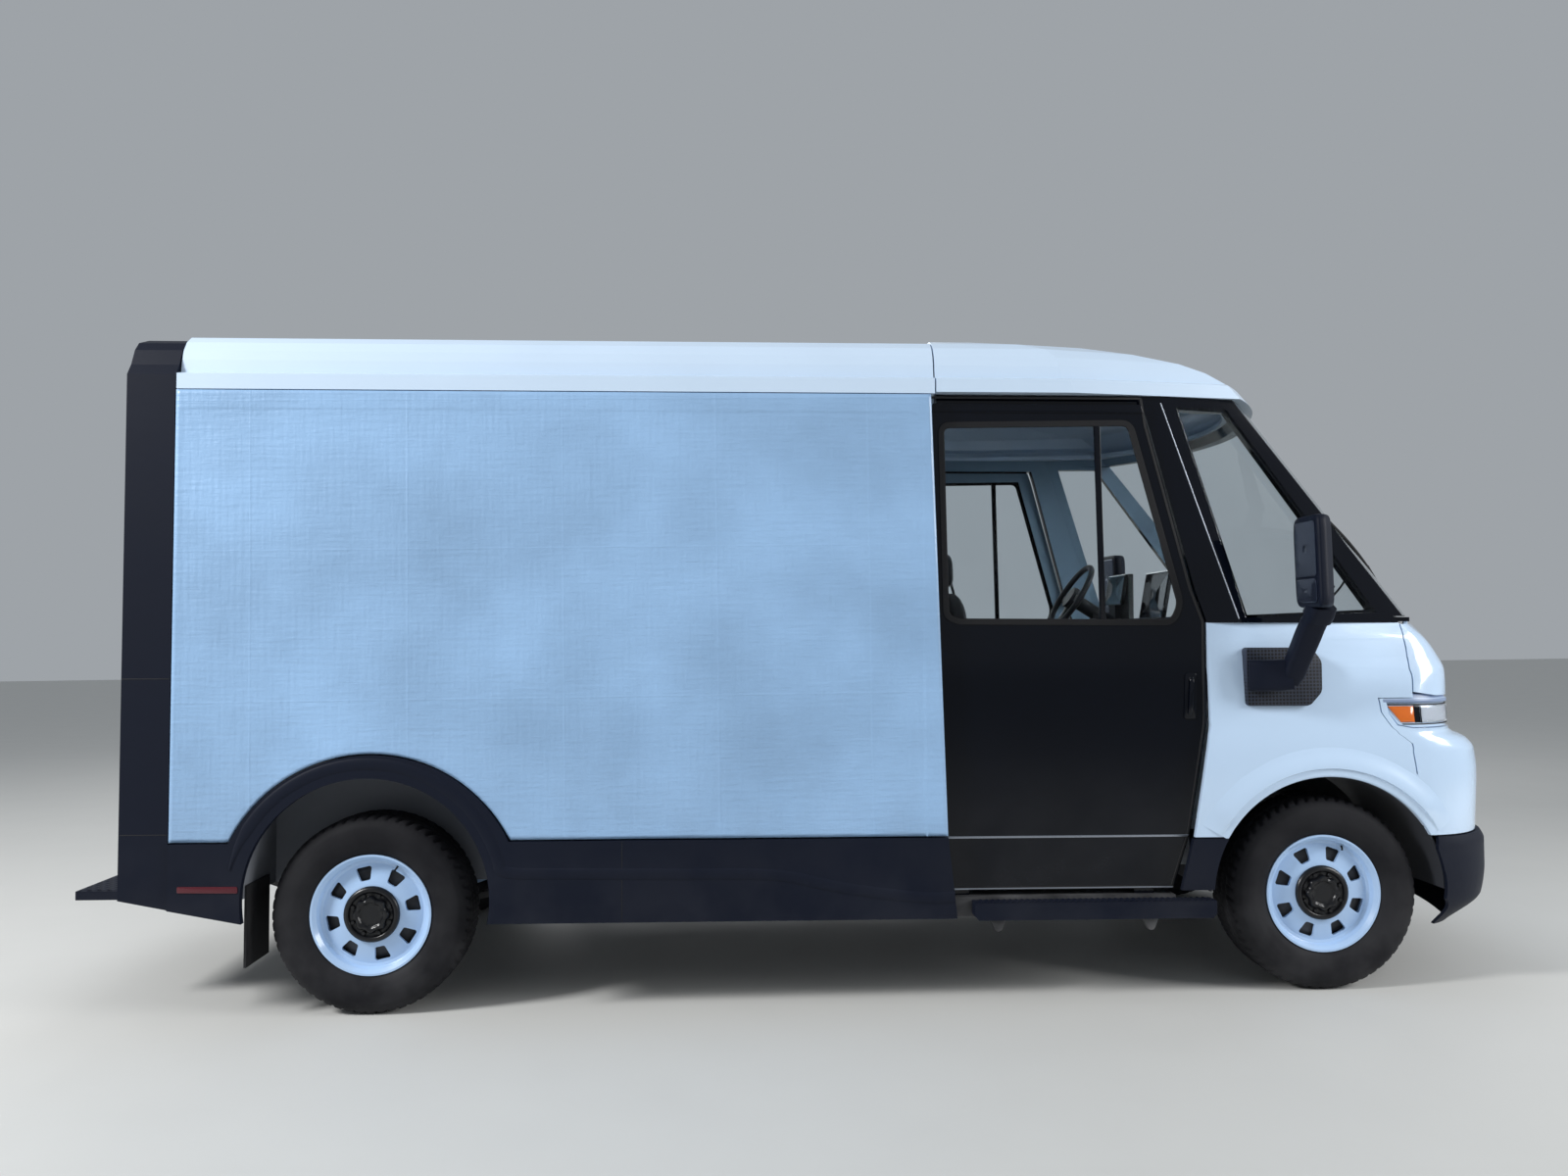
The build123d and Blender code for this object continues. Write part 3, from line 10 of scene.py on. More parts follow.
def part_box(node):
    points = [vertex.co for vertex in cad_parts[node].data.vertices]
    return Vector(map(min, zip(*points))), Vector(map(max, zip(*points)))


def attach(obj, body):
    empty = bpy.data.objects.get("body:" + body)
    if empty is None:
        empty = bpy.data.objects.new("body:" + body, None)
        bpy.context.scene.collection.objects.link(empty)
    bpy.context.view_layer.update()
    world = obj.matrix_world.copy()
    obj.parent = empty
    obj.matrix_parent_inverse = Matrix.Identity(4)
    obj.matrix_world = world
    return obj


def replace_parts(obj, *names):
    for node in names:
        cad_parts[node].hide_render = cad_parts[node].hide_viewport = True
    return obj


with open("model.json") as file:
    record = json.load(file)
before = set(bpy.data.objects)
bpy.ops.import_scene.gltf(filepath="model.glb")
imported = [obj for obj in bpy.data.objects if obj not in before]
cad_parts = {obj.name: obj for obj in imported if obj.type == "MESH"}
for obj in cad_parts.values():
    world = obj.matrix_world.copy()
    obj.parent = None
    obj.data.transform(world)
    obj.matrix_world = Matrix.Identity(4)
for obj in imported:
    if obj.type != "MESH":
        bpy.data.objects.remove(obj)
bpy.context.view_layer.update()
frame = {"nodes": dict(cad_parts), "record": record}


# ------------------------------------------------------------ the van's own level frame
RAKE = radians(0.66)             # the body leans nose down on its wheels
SHIFT = 0.1633837                # from the middle of the wheelbase to the shared origin
HALF_WIDTH = 1030.0              # the rest of this file is in millimetres of the level body
DOOR_FACE = 985.0
REAR_WHEEL = (-1947.4, 372.6)
FRONT_WHEEL = (1938.3, 417.3)
SIDES = {"right": -1.0, "left": 1.0}
MERGE = 0.00002                  # points nearer than this, in metres, are one point


def row(p):
    """Millimetres of the level body to metres of the row frame: scale, lean by the rake, shift along X."""
    p = np.asarray(p, float) / 1000
    x, y, z = p[..., 0], p[..., 1], p[..., 2]
    return np.stack([x * cos(RAKE) + z * sin(RAKE) + SHIFT, y, z * cos(RAKE) - x * sin(RAKE)], -1)


def level_body(p):
    """The other way round from row: metres of the row frame to millimetres of the level body."""
    x, y, z = p[:, 0] - SHIFT, p[:, 1], p[:, 2]
    return np.stack([x * cos(RAKE) - z * sin(RAKE), y, z * cos(RAKE) + x * sin(RAKE)], -1) * 1000


# ------------------------------------------------------------ camera, floor and light
CAMERA_PLACE = (-489.0, -5779.5, 1502.0)
CAMERA_TURN = (0.0409688, 0.0370495, -0.0018)     # yaw, pitch and roll in radians
LENS, SENSOR = 27.055575, 36.0                    # millimetres
LAMPS = (("key_lamp", (-8.5, -4.4, 6.5), 950, 2.0),      # name, place in metres, watts, width in metres
         ("nose_lamp", (7.5, -3.6, 3.8), 380, 3.0),
         ("far_lamp", (-1.0, 8.0, 6.5), 200, 6.0))
LAMP_AIM = Vector((0, 0, 1.2))
ROOM_STRENGTH = 0.62
FLOOR_REACH = 40


def put_camera():
    """A camera at eye height beside the van, turned 2.3 degrees to the nose and pitched up 2.1 degrees."""
    yaw, pitch, roll = CAMERA_TURN
    ahead = np.array([sin(yaw) * cos(pitch), cos(yaw) * cos(pitch), sin(pitch)])
    right = np.array([cos(yaw), -sin(yaw), 0.0])
    up = np.cross(right, ahead)
    axes = np.stack([right * cos(roll) + up * sin(roll), up * cos(roll) - right * sin(roll), -ahead], 1)
    lean = np.array([[cos(RAKE), 0, sin(RAKE)], [0, 1, 0], [-sin(RAKE), 0, cos(RAKE)]])
    pose = np.eye(4)
    pose[:3, :3] = lean @ axes
    pose[:3, 3] = row(CAMERA_PLACE)
    data = bpy.data.cameras.new("camera")
    data.sensor_fit, data.sensor_width, data.lens = "HORIZONTAL", SENSOR, LENS
    data.clip_end = 200
    camera = bpy.data.objects.new("camera", data)
    camera.matrix_world = Matrix(pose.tolist())
    bpy.context.scene.collection.objects.link(camera)
    bpy.context.scene.camera = camera


def put_lamps():
    """A lamp that grazes the near side from behind, one ahead of the nose and a wide one over the far side."""
    for name, place, power, size in LAMPS:
        lamp = bpy.data.lights.new(name, "AREA")
        lamp.energy, lamp.size = power, size
        lamp_object = bpy.data.objects.new(name, lamp)
        lamp_object.location = place
        lamp_object.rotation_euler = (LAMP_AIM - Vector(place)).to_track_quat("-Z", "Y").to_euler()
        bpy.context.scene.collection.objects.link(lamp_object)


# ------------------------------------------------------------ shared effects, as node groups
def new_group(name, inputs, outputs):
    """An empty shader group with float inputs (name, default) and typed outputs (name, type)."""
    tree = bpy.data.node_groups.new(name, "ShaderNodeTree")
    for label, value in inputs:
        socket = tree.interface.new_socket(label, in_out="INPUT", socket_type="NodeSocketFloat")
        socket.default_value = value
    for label, kind in outputs:
        tree.interface.new_socket(label, in_out="OUTPUT", socket_type=kind)
    return tree, tree.nodes.new("NodeGroupInput"), tree.nodes.new("NodeGroupOutput")


def feed(tree, value, socket):
    """Links a socket to another socket, or sets it to a number or a colour."""
    if isinstance(value, bpy.types.NodeSocket):
        tree.links.new(value, socket)
    else:
        socket.default_value = value


def add_math(tree, kind, a, b=None, clamp=False):
    """A Math node whose operands are sockets or numbers; gives back its output socket."""
    node = tree.nodes.new("ShaderNodeMath")
    node.operation, node.use_clamp = kind, clamp
    feed(tree, a, node.inputs[0])
    if b is not None:
        feed(tree, b, node.inputs[1])
    return node.outputs[0]


def add_mix(tree, factor, a, b, kind="RGBA"):
    """A Mix node from a to b by factor, each a socket or a value; gives back its output socket."""
    node = tree.nodes.new("ShaderNodeMix")
    node.data_type = kind
    for label, value in (("Factor", factor), ("A", a), ("B", b)):
        feed(tree, value, node.inputs[label])
    return node.outputs["Result"]


def add_mapped(tree, stretch):
    """Object coordinates stretched per axis, as a vector socket."""
    place = tree.nodes.new("ShaderNodeTexCoord")
    mapping = tree.nodes.new("ShaderNodeMapping")
    mapping.inputs["Scale"].default_value = stretch
    tree.links.new(place.outputs["Object"], mapping.inputs["Vector"])
    return mapping.outputs["Vector"]


def add_axes(tree, kind="Object"):
    """The X, Y and Z sockets of Object coordinates, or of the surface's Normal."""
    place = tree.nodes.new("ShaderNodeTexCoord")
    split = tree.nodes.new("ShaderNodeSeparateXYZ")
    tree.links.new(place.outputs[kind], split.inputs[0])
    return split.outputs


def add_noise(tree, scale, detail=3.0, stretch=(1, 1, 1)):
    """Noise on Object coordinates, stretched per axis; gives back its value socket."""
    noise = tree.nodes.new("ShaderNodeTexNoise")
    noise.inputs["Detail"].default_value = detail
    tree.links.new(add_mapped(tree, stretch), noise.inputs["Vector"])
    feed(tree, scale, noise.inputs["Scale"])
    return noise.outputs["Fac"]


def add_group(tree, group, **values):
    """A shader group placed in a tree with its inputs set; gives back its outputs."""
    node = tree.nodes.new("ShaderNodeGroup")
    node.node_tree = group
    for label, value in values.items():
        node.inputs[label].default_value = value
    return node.outputs


def make_dust_group():
    """Road dust: full below Low, gone above High (metres off the ground), broken into patches where noise
    passes a start value, with a gain that sets how sharp their edges are."""
    tree, given, out = new_group("road_dust", [("Low", 0.2), ("High", 0.9), ("Amount", 0.5)],
                                 [("Mask", "NodeSocketFloat")])
    low, high, amount = (given.outputs[label] for label in ("Low", "High", "Amount"))
    fall = add_math(tree, "SUBTRACT", high, add_axes(tree)["Z"])
    share = add_math(tree, "DIVIDE", fall, add_math(tree, "SUBTRACT", high, low), clamp=True)
    start, gain = 0.36, 4.0
    patches = add_math(tree, "MULTIPLY", add_math(tree, "SUBTRACT", add_noise(tree, 5.0, 6.0), start), gain, True)
    mask = add_math(tree, "MULTIPLY", add_math(tree, "MULTIPLY", share, patches), amount, True)
    tree.links.new(mask, out.inputs["Mask"])
    return tree


def make_grain_group():
    """Moulded grain: fine noise plus a little coarse noise, as a height."""
    tree, given, out = new_group("fine_grain", [("Scale", 400.0)], [("Height", "NodeSocketFloat")])
    fine = add_noise(tree, given.outputs["Scale"], 2.0)
    coarse = add_math(tree, "MULTIPLY", add_noise(tree, 40.0, 3.0), 0.35)
    tree.links.new(add_math(tree, "ADD", fine, coarse), out.inputs["Height"])
    return tree


def make_patch_group():
    """Slow change of gloss over a surface: noise squeezed between Least and Most."""
    tree, given, out = new_group("worn_gloss", [("Scale", 3.0), ("Least", 0.2), ("Most", 0.4)],
                                 [("Value", "NodeSocketFloat")])
    scale, least, most = (given.outputs[label] for label in ("Scale", "Least", "Most"))
    spread = add_math(tree, "MULTIPLY", add_noise(tree, scale, 5.0), add_math(tree, "SUBTRACT", most, least))
    tree.links.new(add_math(tree, "ADD", spread, least), out.inputs["Value"])
    return tree


CORE_BLOCKS = (("X", 0.237, 0.617), ("Z", 1.255, 0.6))      # axis, where a line falls, metres between lines
MAT_NOISE = (((9, 9, 75), 4.0), ((75, 9, 9), 2.6), ((60, 60, 60), 2.0), ((2.6, 2.6, 3.4), 16.0),
             ((30, 30, 260), 0.8))                          # stretch per axis, share of the height


def make_woven_group():
    """A woven glass mat under gelcoat: crossed threads, streaks both ways, slow unevenness, and faint raised
    lines where the core's blocks meet, 617 mm apart along X and 600 mm apart up Z."""
    tree, given, out = new_group("woven_mat", [("Thread", 210.0)],
                                 [("Height", "NodeSocketFloat"), ("Line", "NodeSocketFloat")])
    axes = add_axes(tree)
    heights, lines = [], []
    for axis, start, block in CORE_BLOCKS:
        threads = add_math(tree, "SINE", add_math(tree, "MULTIPLY", axes[axis], given.outputs["Thread"]))
        cell = add_math(tree, "DIVIDE", add_math(tree, "SUBTRACT", axes[axis], start), block)
        off = add_math(tree, "ABSOLUTE", add_math(tree, "SUBTRACT", add_math(tree, "FRACT", cell), 0.5))
        lines.append(add_math(tree, "MULTIPLY", add_math(tree, "SUBTRACT", off, 0.492), 200.0, True))
        raised = add_math(tree, "MULTIPLY", lines[-1], 0.9)
        heights.append(add_math(tree, "ADD", add_math(tree, "MULTIPLY", threads, 0.22), raised))
    height = add_math(tree, "ADD", *heights)
    for stretch, share in MAT_NOISE:
        part = add_math(tree, "MULTIPLY", add_noise(tree, 1.0, 2.0, stretch), share)
        height = add_math(tree, "ADD", height, part)
    tree.links.new(height, out.inputs["Height"])
    tree.links.new(add_math(tree, "MAXIMUM", *lines), out.inputs["Line"])
    return tree


DUST, GRAIN, PATCH, WOVEN = make_dust_group(), make_grain_group(), make_patch_group(), make_woven_group()


# ------------------------------------------------------------ finishes
COAT_ROUGHNESS = 0.04
GLASS_IOR = 1.12                 # low, because each pane is thin
DUST_COLOUR = (0.3, 0.3, 0.31, 1)
GLOSS_PAINT = dict(gloss=(0.05, 0.11), cloud=0.1, shine=0.26, grain=(140, 0.00003), dust=(0.4, 1.0, 0.02))


def srgb(r, g, b):
    """A colour as it is seen, 0 to 255, to the linear values that a shader takes."""
    c = np.array([r, g, b]) / 255
    return tuple(np.where(c <= 0.04045, c / 12.92, ((c + 0.055) / 1.055) ** 2.4))


def toned(colour, share):
    """A colour made lighter or darker by a share, with no value past 1, and an alpha of 1."""
    return (*[min(c * share, 1) for c in colour], 1)


def finish(name, colour, gloss=(0.3, 0.4), metal=0.0, coat=0.0, grain=None, dust=None, cloud=0.04, woven=False,
           sheen=0.0, shine=0.5):
    """A finish: a base colour that clouds by twice the cloud share either way, with road dust given as (low,
    high, amount), uneven gloss, and a bump of moulded grain given as (scale, height in metres) or woven mat."""
    mat = bpy.data.materials.new(name)
    mat.use_nodes = True
    tree = mat.node_tree
    shader = tree.nodes["Principled BSDF"]
    for label, value in (("Metallic", metal), ("Coat Weight", coat), ("Coat Roughness", COAT_ROUGHNESS),
                         ("Sheen Weight", sheen), ("Specular IOR Level", shine)):
        shader.inputs[label].default_value = value
    tone = add_mix(tree, add_noise(tree, 2.2, 4.0), toned(colour, 1 - cloud * 2), toned(colour, 1 + cloud * 2))
    roughness = add_group(tree, PATCH, Least=gloss[0], Most=gloss[1])["Value"]
    if dust:
        mask = add_group(tree, DUST, Low=dust[0], High=dust[1], Amount=dust[2])["Mask"]
        tone = add_mix(tree, mask, tone, DUST_COLOUR)
        roughness = add_math(tree, "ADD", roughness, add_math(tree, "MULTIPLY", mask, 0.45), True)
    if grain or woven:
        relief = add_group(tree, WOVEN) if woven else add_group(tree, GRAIN, Scale=grain[0])
        bump = tree.nodes.new("ShaderNodeBump")
        bump.inputs["Strength"].default_value = 0.8 if woven else 0.5
        bump.inputs["Distance"].default_value = 0.0006 if woven else grain[1]
        tree.links.new(relief["Height"], bump.inputs["Height"])
        tree.links.new(bump.outputs["Normal"], shader.inputs["Normal"])
    if woven:
        tone = add_mix(tree, add_math(tree, "MULTIPLY", relief["Line"], 0.12), tone, toned(colour, 1.3))
    tree.links.new(tone, shader.inputs["Base Color"])
    tree.links.new(roughness, shader.inputs["Roughness"])
    return mat


def glass_finish(name, tint, rough=0.0):
    """Thin tinted glass, faintly soiled towards its lower edge."""
    mat = finish(name, tint, gloss=(rough, rough + 0.02), cloud=0.0, dust=(0.9, 2.4, 0.05))
    shader = mat.node_tree.nodes["Principled BSDF"]
    shader.inputs["Transmission Weight"].default_value = 1.0
    shader.inputs["IOR"].default_value = GLASS_IOR
    return mat


def perforated():
    """Moulded cladding with a field of small round pits on a square grid, 14 mm apart, as height and colour: the
    pits' near black is painted shade, and the web's grey, lighter than the other cladding, is partly the plate's
    own colour and partly painted highlight.
    """
    mat = finish("perforated_cladding", srgb(44, 50, 64), (0.42, 0.58), grain=(900, 0.0004), shine=0.3)
    tree = mat.node_tree
    cells = tree.nodes.new("ShaderNodeTexVoronoi")
    cells.inputs["Randomness"].default_value = 0.0
    cells.inputs["Scale"].default_value = 1.0
    tree.links.new(add_mapped(tree, (70, 0, 70)), cells.inputs["Vector"])
    web = add_math(tree, "GREATER_THAN", cells.outputs["Distance"], 0.36)
    height = next(n for n in tree.nodes if n.type == "BUMP").inputs["Height"]
    web_height = add_math(tree, "MULTIPLY", web, 8.0)
    tree.links.new(add_math(tree, "ADD", height.links[0].from_socket, web_height), height)
    colour = tree.nodes["Principled BSDF"].inputs["Base Color"]
    # Painted shade and highlight: the pits go near black and the web keeps a lighter grey.
    tree.links.new(add_mix(tree, web, (*srgb(8, 9, 14), 1), colour.links[0].from_socket), colour)
    return mat


def two_tone():
    """Gloss black outside and pale trim inside: the paint changes where a face looks at the middle plane,
    which the product of its place and its normal across the van tells."""
    mat = finish("cab_two_tone", srgb(5, 8, 17), **GLOSS_PAINT)
    tree = mat.node_tree
    facing = add_math(tree, "MULTIPLY", add_axes(tree)["Y"], add_axes(tree, "Normal")["Y"])
    inner = add_math(tree, "LESS_THAN", facing, -0.15)
    shader = tree.nodes["Principled BSDF"]
    for label, value, kind in (("Base Color", (*srgb(118, 144, 166), 1), "RGBA"), ("Roughness", 0.55, "FLOAT")):
        socket = shader.inputs[label]
        tree.links.new(add_mix(tree, inner, socket.links[0].from_socket, value, kind), socket)
    return mat


LOOKS = {
    # Painted shade: the panel's gelcoat is darker and bluer than the roof's, the side in shade lit by the sky;
    # its cloud of 0.16 is a painted mottle of light and shade for the panel's waves.
    "panel_white": finish("panel_gelcoat", srgb(146, 181, 218), (0.3, 0.42), coat=0.2, woven=True, cloud=0.16,
                          dust=(0.5, 1.1, 0.05)),
    # The pale blue of the cab paint and the roof's gelcoat is painted sky light on white.
    "body_white": finish("cab_paint", srgb(192, 215, 240), (0.16, 0.24), coat=0.8, cloud=0.015,
                         grain=(220, 0.00004), dust=(0.4, 1.0, 0.12)),
    "roof_white": finish("roof_gelcoat", srgb(204, 223, 243), (0.26, 0.4), coat=0.3, cloud=0.02,
                         grain=(160, 0.0001)),
    "cladding_black": finish("moulded_cladding", srgb(13, 19, 34), (0.46, 0.6), grain=(900, 0.0004), cloud=0.08,
                             dust=(0.25, 0.75, 0.03), shine=0.16),
    "gloss_black": finish("gloss_black_paint", srgb(5, 8, 17), **GLOSS_PAINT),
    "window_glass": glass_finish("window_pane", srgb(240, 245, 247)),
    "lamp_clear": glass_finish("clear_lens", srgb(245, 248, 252), 0.03),
    "lamp_red": finish("red_lens", srgb(150, 12, 20), (0.08, 0.16), coat=0.6, grain=(60, 0.0006)),
    "rubber_black": finish("black_rubber", srgb(18, 18, 21), (0.6, 0.75), grain=(700, 0.0005),
                           dust=(0.1, 0.7, 0.08), shine=0.3),
    "interior_dark": finish("cab_trim", srgb(46, 48, 54), (0.5, 0.66), grain=(1100, 0.0004), cloud=0.06),
    "seat_cloth": finish("seat_cover", srgb(38, 40, 46), (0.75, 0.9), grain=(1500, 0.0008), cloud=0.1, sheen=0.3),
    "liner_grey": finish("wall_liner", srgb(176, 180, 186), (0.45, 0.6), grain=(300, 0.0006), cloud=0.06),
    "rear_door_grey": finish("door_slats", srgb(196, 202, 212), (0.35, 0.5), grain=(120, 0.0002),
                             dust=(0.5, 1.5, 0.25)),
    "chassis_black": finish("frame_paint", srgb(30, 30, 33), (0.5, 0.7), grain=(120, 0.0006),
                            dust=(0.2, 0.9, 0.35)),
    "steel": finish("raw_steel", srgb(120, 118, 116), (0.35, 0.5), metal=0.8, grain=(200, 0.0005), cloud=0.15,
                    dust=(0.1, 0.9, 0.4)),
    "tyre": finish("tyre_rubber", srgb(17, 17, 22), (0.6, 0.8), grain=(350, 0.0007), cloud=0.12,
                   dust=(-0.2, 1.1, 0.08), shine=0.22),
    # The pale blue of the wheel paint is painted sky light on white.
    "rim_white": finish("wheel_paint", srgb(170, 200, 236), (0.22, 0.34), coat=0.4, cloud=0.03,
                        grain=(180, 0.0001), dust=(0.0, 0.8, 0.14)),
}
HUB_BLACK = finish("hub_black", srgb(12, 13, 17), (0.22, 0.36), grain=(300, 0.0002), shine=0.4)
AMBER = finish("amber_lens", srgb(226, 110, 16), (0.08, 0.14), coat=0.8, grain=(50, 0.001), cloud=0.14)
# The mirror glass's dark blue is a painted dark reflection.
MIRROR = finish("silvered_glass", srgb(58, 66, 86), (0.1, 0.16), metal=0.7, cloud=0.0, grain=(40, 0.00001))
TUB_GREY = finish("wheelhouse_coating", srgb(112, 116, 124), (0.6, 0.8), grain=(260, 0.0008), cloud=0.1,
                  dust=(0.3, 1.2, 0.2))
CHROME = finish("bright_bowl", srgb(232, 236, 242), (0.12, 0.2), metal=0.35, cloud=0.05, grain=(90, 0.0003))
SCREEN = finish("dark_screen", srgb(12, 14, 18), (0.05, 0.1), coat=1.0, grain=(60, 0.00002))
REFLECTOR = finish("dark_reflector", srgb(78, 10, 26), (0.2, 0.3), grain=(700, 0.0008))
# A grey-blue band of painted shade: the shadow under the hood's edge above each lamp.
SHADE_BAND = finish("painted_shade_band", srgb(128, 146, 178), (0.3, 0.4), grain=(200, 0.0001))
SEAM_BLACK = finish("seam_sealer", srgb(8, 8, 11), (0.55, 0.7), grain=(500, 0.0003))
# Satin metal for the doors' bright strips, and for the painted highlight line down each front pillar.
TRIM_AND_HIGHLIGHT = finish("satin_trim_and_highlight", srgb(150, 156, 166), (0.25, 0.35), metal=0.85, grain=(600, 0.0001))
PERFORATED, TWO_TONE = perforated(), two_tone()


# ------------------------------------------------------------ how a worked-out surface becomes a piece
def grid_faces(rows, columns, wrap_rows=False, wrap_columns=False, start=0):
    """The quads of a rows x columns grid of points, numbered row by row from start, as an array (n, 4)."""
    r = np.arange(rows if wrap_rows else rows - 1)[:, None]
    c = np.arange(columns if wrap_columns else columns - 1)[None, :]
    r2, c2 = (r + 1) % rows, (c + 1) % columns
    quads = np.stack([r * columns + c, r * columns + c2, r2 * columns + c2, r2 * columns + c], -1)
    return quads.reshape(-1, 4) + start


def place_piece(name, mesh, look, body):
    """A mesh becomes a piece: one object with one finish, riding on a body."""
    piece = bpy.data.objects.new(name, mesh)
    bpy.context.scene.collection.objects.link(piece)
    mesh.materials.clear()
    mesh.materials.append(look)
    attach(piece, body)
    return piece


def make_piece(name, sheets, look, body, closed=True, outward=None, thick=0.0, sharp=40.0, in_row=False):
    """A piece from sheets of (points (rows, columns, 3) in mm, wrap_rows, wrap_columns, capped).
    Capped sheets get their first and last rows closed by a fan. Closed pieces get their faces turned
    outwards; open ones are turned to face outward. A sheet may be thickened inwards by thick mm. Points are
    in the level body's frame, or in_row in the row frame. Edges sharper than sharp degrees stay hard."""
    points, faces, count = [], [], 0
    for grid, wrap_rows, wrap_columns, capped in sheets:
        rows, columns = grid.shape[:2]
        points.append(grid.reshape(-1, 3))
        faces += grid_faces(rows, columns, wrap_rows, wrap_columns, count).tolist()
        last = count + (rows - 1) * columns
        if capped:
            points.append(np.stack([grid[0].mean(0), grid[-1].mean(0)]))
            tip = count + rows * columns
            ring = np.arange(columns)
            after = (ring + 1) % columns
            faces += np.stack([ring + count, after + count, np.full(columns, tip)], -1).tolist()
            faces += np.stack([after + last, ring + last, np.full(columns, tip + 1)], -1).tolist()
            count += 2
        count += rows * columns
    verts = np.concatenate(points)
    mesh = bpy.data.meshes.new(name)
    mesh.from_pydata((verts / 1000 if in_row else row(verts)).tolist(), [], faces)
    work = bmesh.new()
    work.from_mesh(mesh)
    bmesh.ops.remove_doubles(work, verts=work.verts, dist=MERGE)
    if closed:
        bmesh.ops.recalc_face_normals(work, faces=work.faces)
    elif outward is not None:
        work.normal_update()
        lean = sum((f.normal * f.calc_area() for f in work.faces), Vector()).dot(Vector(outward))
        if lean < 0:
            bmesh.ops.reverse_faces(work, faces=work.faces)
    for face in work.faces:
        face.smooth = True
    for edge in work.edges:
        edge.smooth = len(edge.link_faces) < 2 or edge.calc_face_angle(0) < radians(sharp)
    work.to_mesh(mesh)
    work.free()
    piece = place_piece(name, mesh, look, body)
    if thick:
        wall = piece.modifiers.new("wall", "SOLIDIFY")
        wall.thickness, wall.offset = thick / 1000, -1
    return piece


def rounded(corners, radius, steps=7):
    """A closed outline with round corners: each corner's arc is a quadratic curve that starts and ends one
    radius (or 0.45 of the shorter side) from the corner."""
    corners = np.asarray(corners, float)
    before, after = np.roll(corners, 1, 0) - corners, np.roll(corners, -1, 0) - corners
    len_b, len_a = np.linalg.norm(before, axis=1), np.linalg.norm(after, axis=1)
    cut = np.minimum(radius, 0.45 * np.minimum(len_b, len_a))
    start = corners + before / len_b[:, None] * cut[:, None]
    end = corners + after / len_a[:, None] * cut[:, None]
    t = np.linspace(0, 1, steps)[None, :, None]
    arcs = (1 - t) ** 2 * start[:, None] + 2 * t * (1 - t) * corners[:, None] + t**2 * end[:, None]
    return arcs.reshape(-1, 2)


def inset(outline, distance):
    """A closed outline moved inwards by distance along the mean of its neighbouring edge normals."""
    along = np.roll(outline, -1, 0) - np.roll(outline, 1, 0)
    normal = np.stack([-along[:, 1], along[:, 0]], 1)
    normal /= np.linalg.norm(normal, axis=1)[:, None] + 1e-9
    area = 0.5 * np.sum(outline[:, 0] * np.roll(outline[:, 1], -1) - np.roll(outline[:, 0], -1) * outline[:, 1])
    return outline + normal * distance * np.sign(area)


def box_outline(u_low, v_low, u_high, v_high, radius):
    """A rectangle with round corners."""
    return rounded([(u_low, v_low), (u_high, v_low), (u_high, v_high), (u_low, v_high)], radius)


def stacked(outline, levels, place):
    """A plate as rings: the outline (u, v) drawn in by cut at each depth, for every (cut, depth) of levels, and
    put in space by place(u, v, depth), which gives x, y and z. Its first and last rings get closed."""
    rings = []
    for cut, depth in levels:
        u, v = inset(outline, cut).T
        rings.append(np.stack(np.broadcast_arrays(*place(u, v, depth)), -1))
    return np.stack(rings), False, True, True


def slab(outline, side, y_low, y_high, edge=3.0):
    """A plate with softened edges: the side outline (x, z) carried from y_low to y_high, drawn in by edge."""
    edge = min(edge, abs(y_high - y_low) / 2.2)
    levels = [(edge, y_low), (0.3 * edge, y_low + 0.3 * edge), (0, y_low + edge), (0, y_high - edge),
              (0.3 * edge, y_high - 0.3 * edge), (edge, y_high)]
    return stacked(outline, levels, lambda u, v, y: (u, side * y, v))


def frame_band(outline, width, side, y_low, y_high, edge=2.0):
    """A flat frame with softened edges between an outline (x, z) and the same outline drawn in by width."""
    loop = [(edge, y_high), (0, y_high - edge), (0, y_low + edge), (edge, y_low), (width - edge, y_low),
            (width, y_low + edge), (width, y_high - edge), (width - edge, y_high)]
    return stacked(outline, loop, lambda u, v, y: (u, side * y, v))[0], True, True, False


def smooth_path(points, count):
    """Catmull-Rom: a curve through all points, sampled count times, each a weighted sum of four of them."""
    points = np.asarray(points, float)
    padded = np.concatenate([[2 * points[0] - points[1]], points, [2 * points[-1] - points[-2]]])
    t = np.linspace(0, len(points) - 1 - 1e-9, count)
    k = t.astype(int)
    f = (t - k)[:, None]
    a, b, c, d = padded[k], padded[k + 1], padded[k + 2], padded[k + 3]
    return 0.5 * (2 * b + (c - a) * f + (2 * a - 5 * b + 4 * c - d) * f**2 + (3 * b - a - 3 * c + d) * f**3)


def superellipse(angle, power):
    """The point of |u|^p + |v|^p = 1 that belongs to an angle."""
    u = np.sign(np.cos(angle)) * np.abs(np.cos(angle)) ** (2 / power)
    v = np.sign(np.sin(angle)) * np.abs(np.sin(angle)) ** (2 / power)
    return u, v


def swept(path, across, deep, power=4.0, around=32, up=(0, 1, 0)):
    """A tube along a path: every section is the superellipse |u|^p + |v|^p = 1 of half widths across
    (square to the path and to up) and deep (along up)."""
    path = np.asarray(path, float)
    along = np.gradient(path, axis=0)
    along /= np.linalg.norm(along, axis=1)[:, None]
    up = np.broadcast_to(np.asarray(up, float), along.shape)
    second = up - along * np.sum(up * along, 1)[:, None]
    second /= np.linalg.norm(second, axis=1)[:, None]
    first = np.cross(along, second)
    u, v = superellipse(np.linspace(0, 2 * pi, around, endpoint=False), power)
    across = np.broadcast_to(np.asarray(across, float), (len(path),))[:, None, None]
    deep = np.broadcast_to(np.asarray(deep, float), (len(path),))[:, None, None]
    grid = path[:, None] + first[:, None] * u[None, :, None] * across + second[:, None] * v[None, :, None] * deep
    return grid, False, True, True


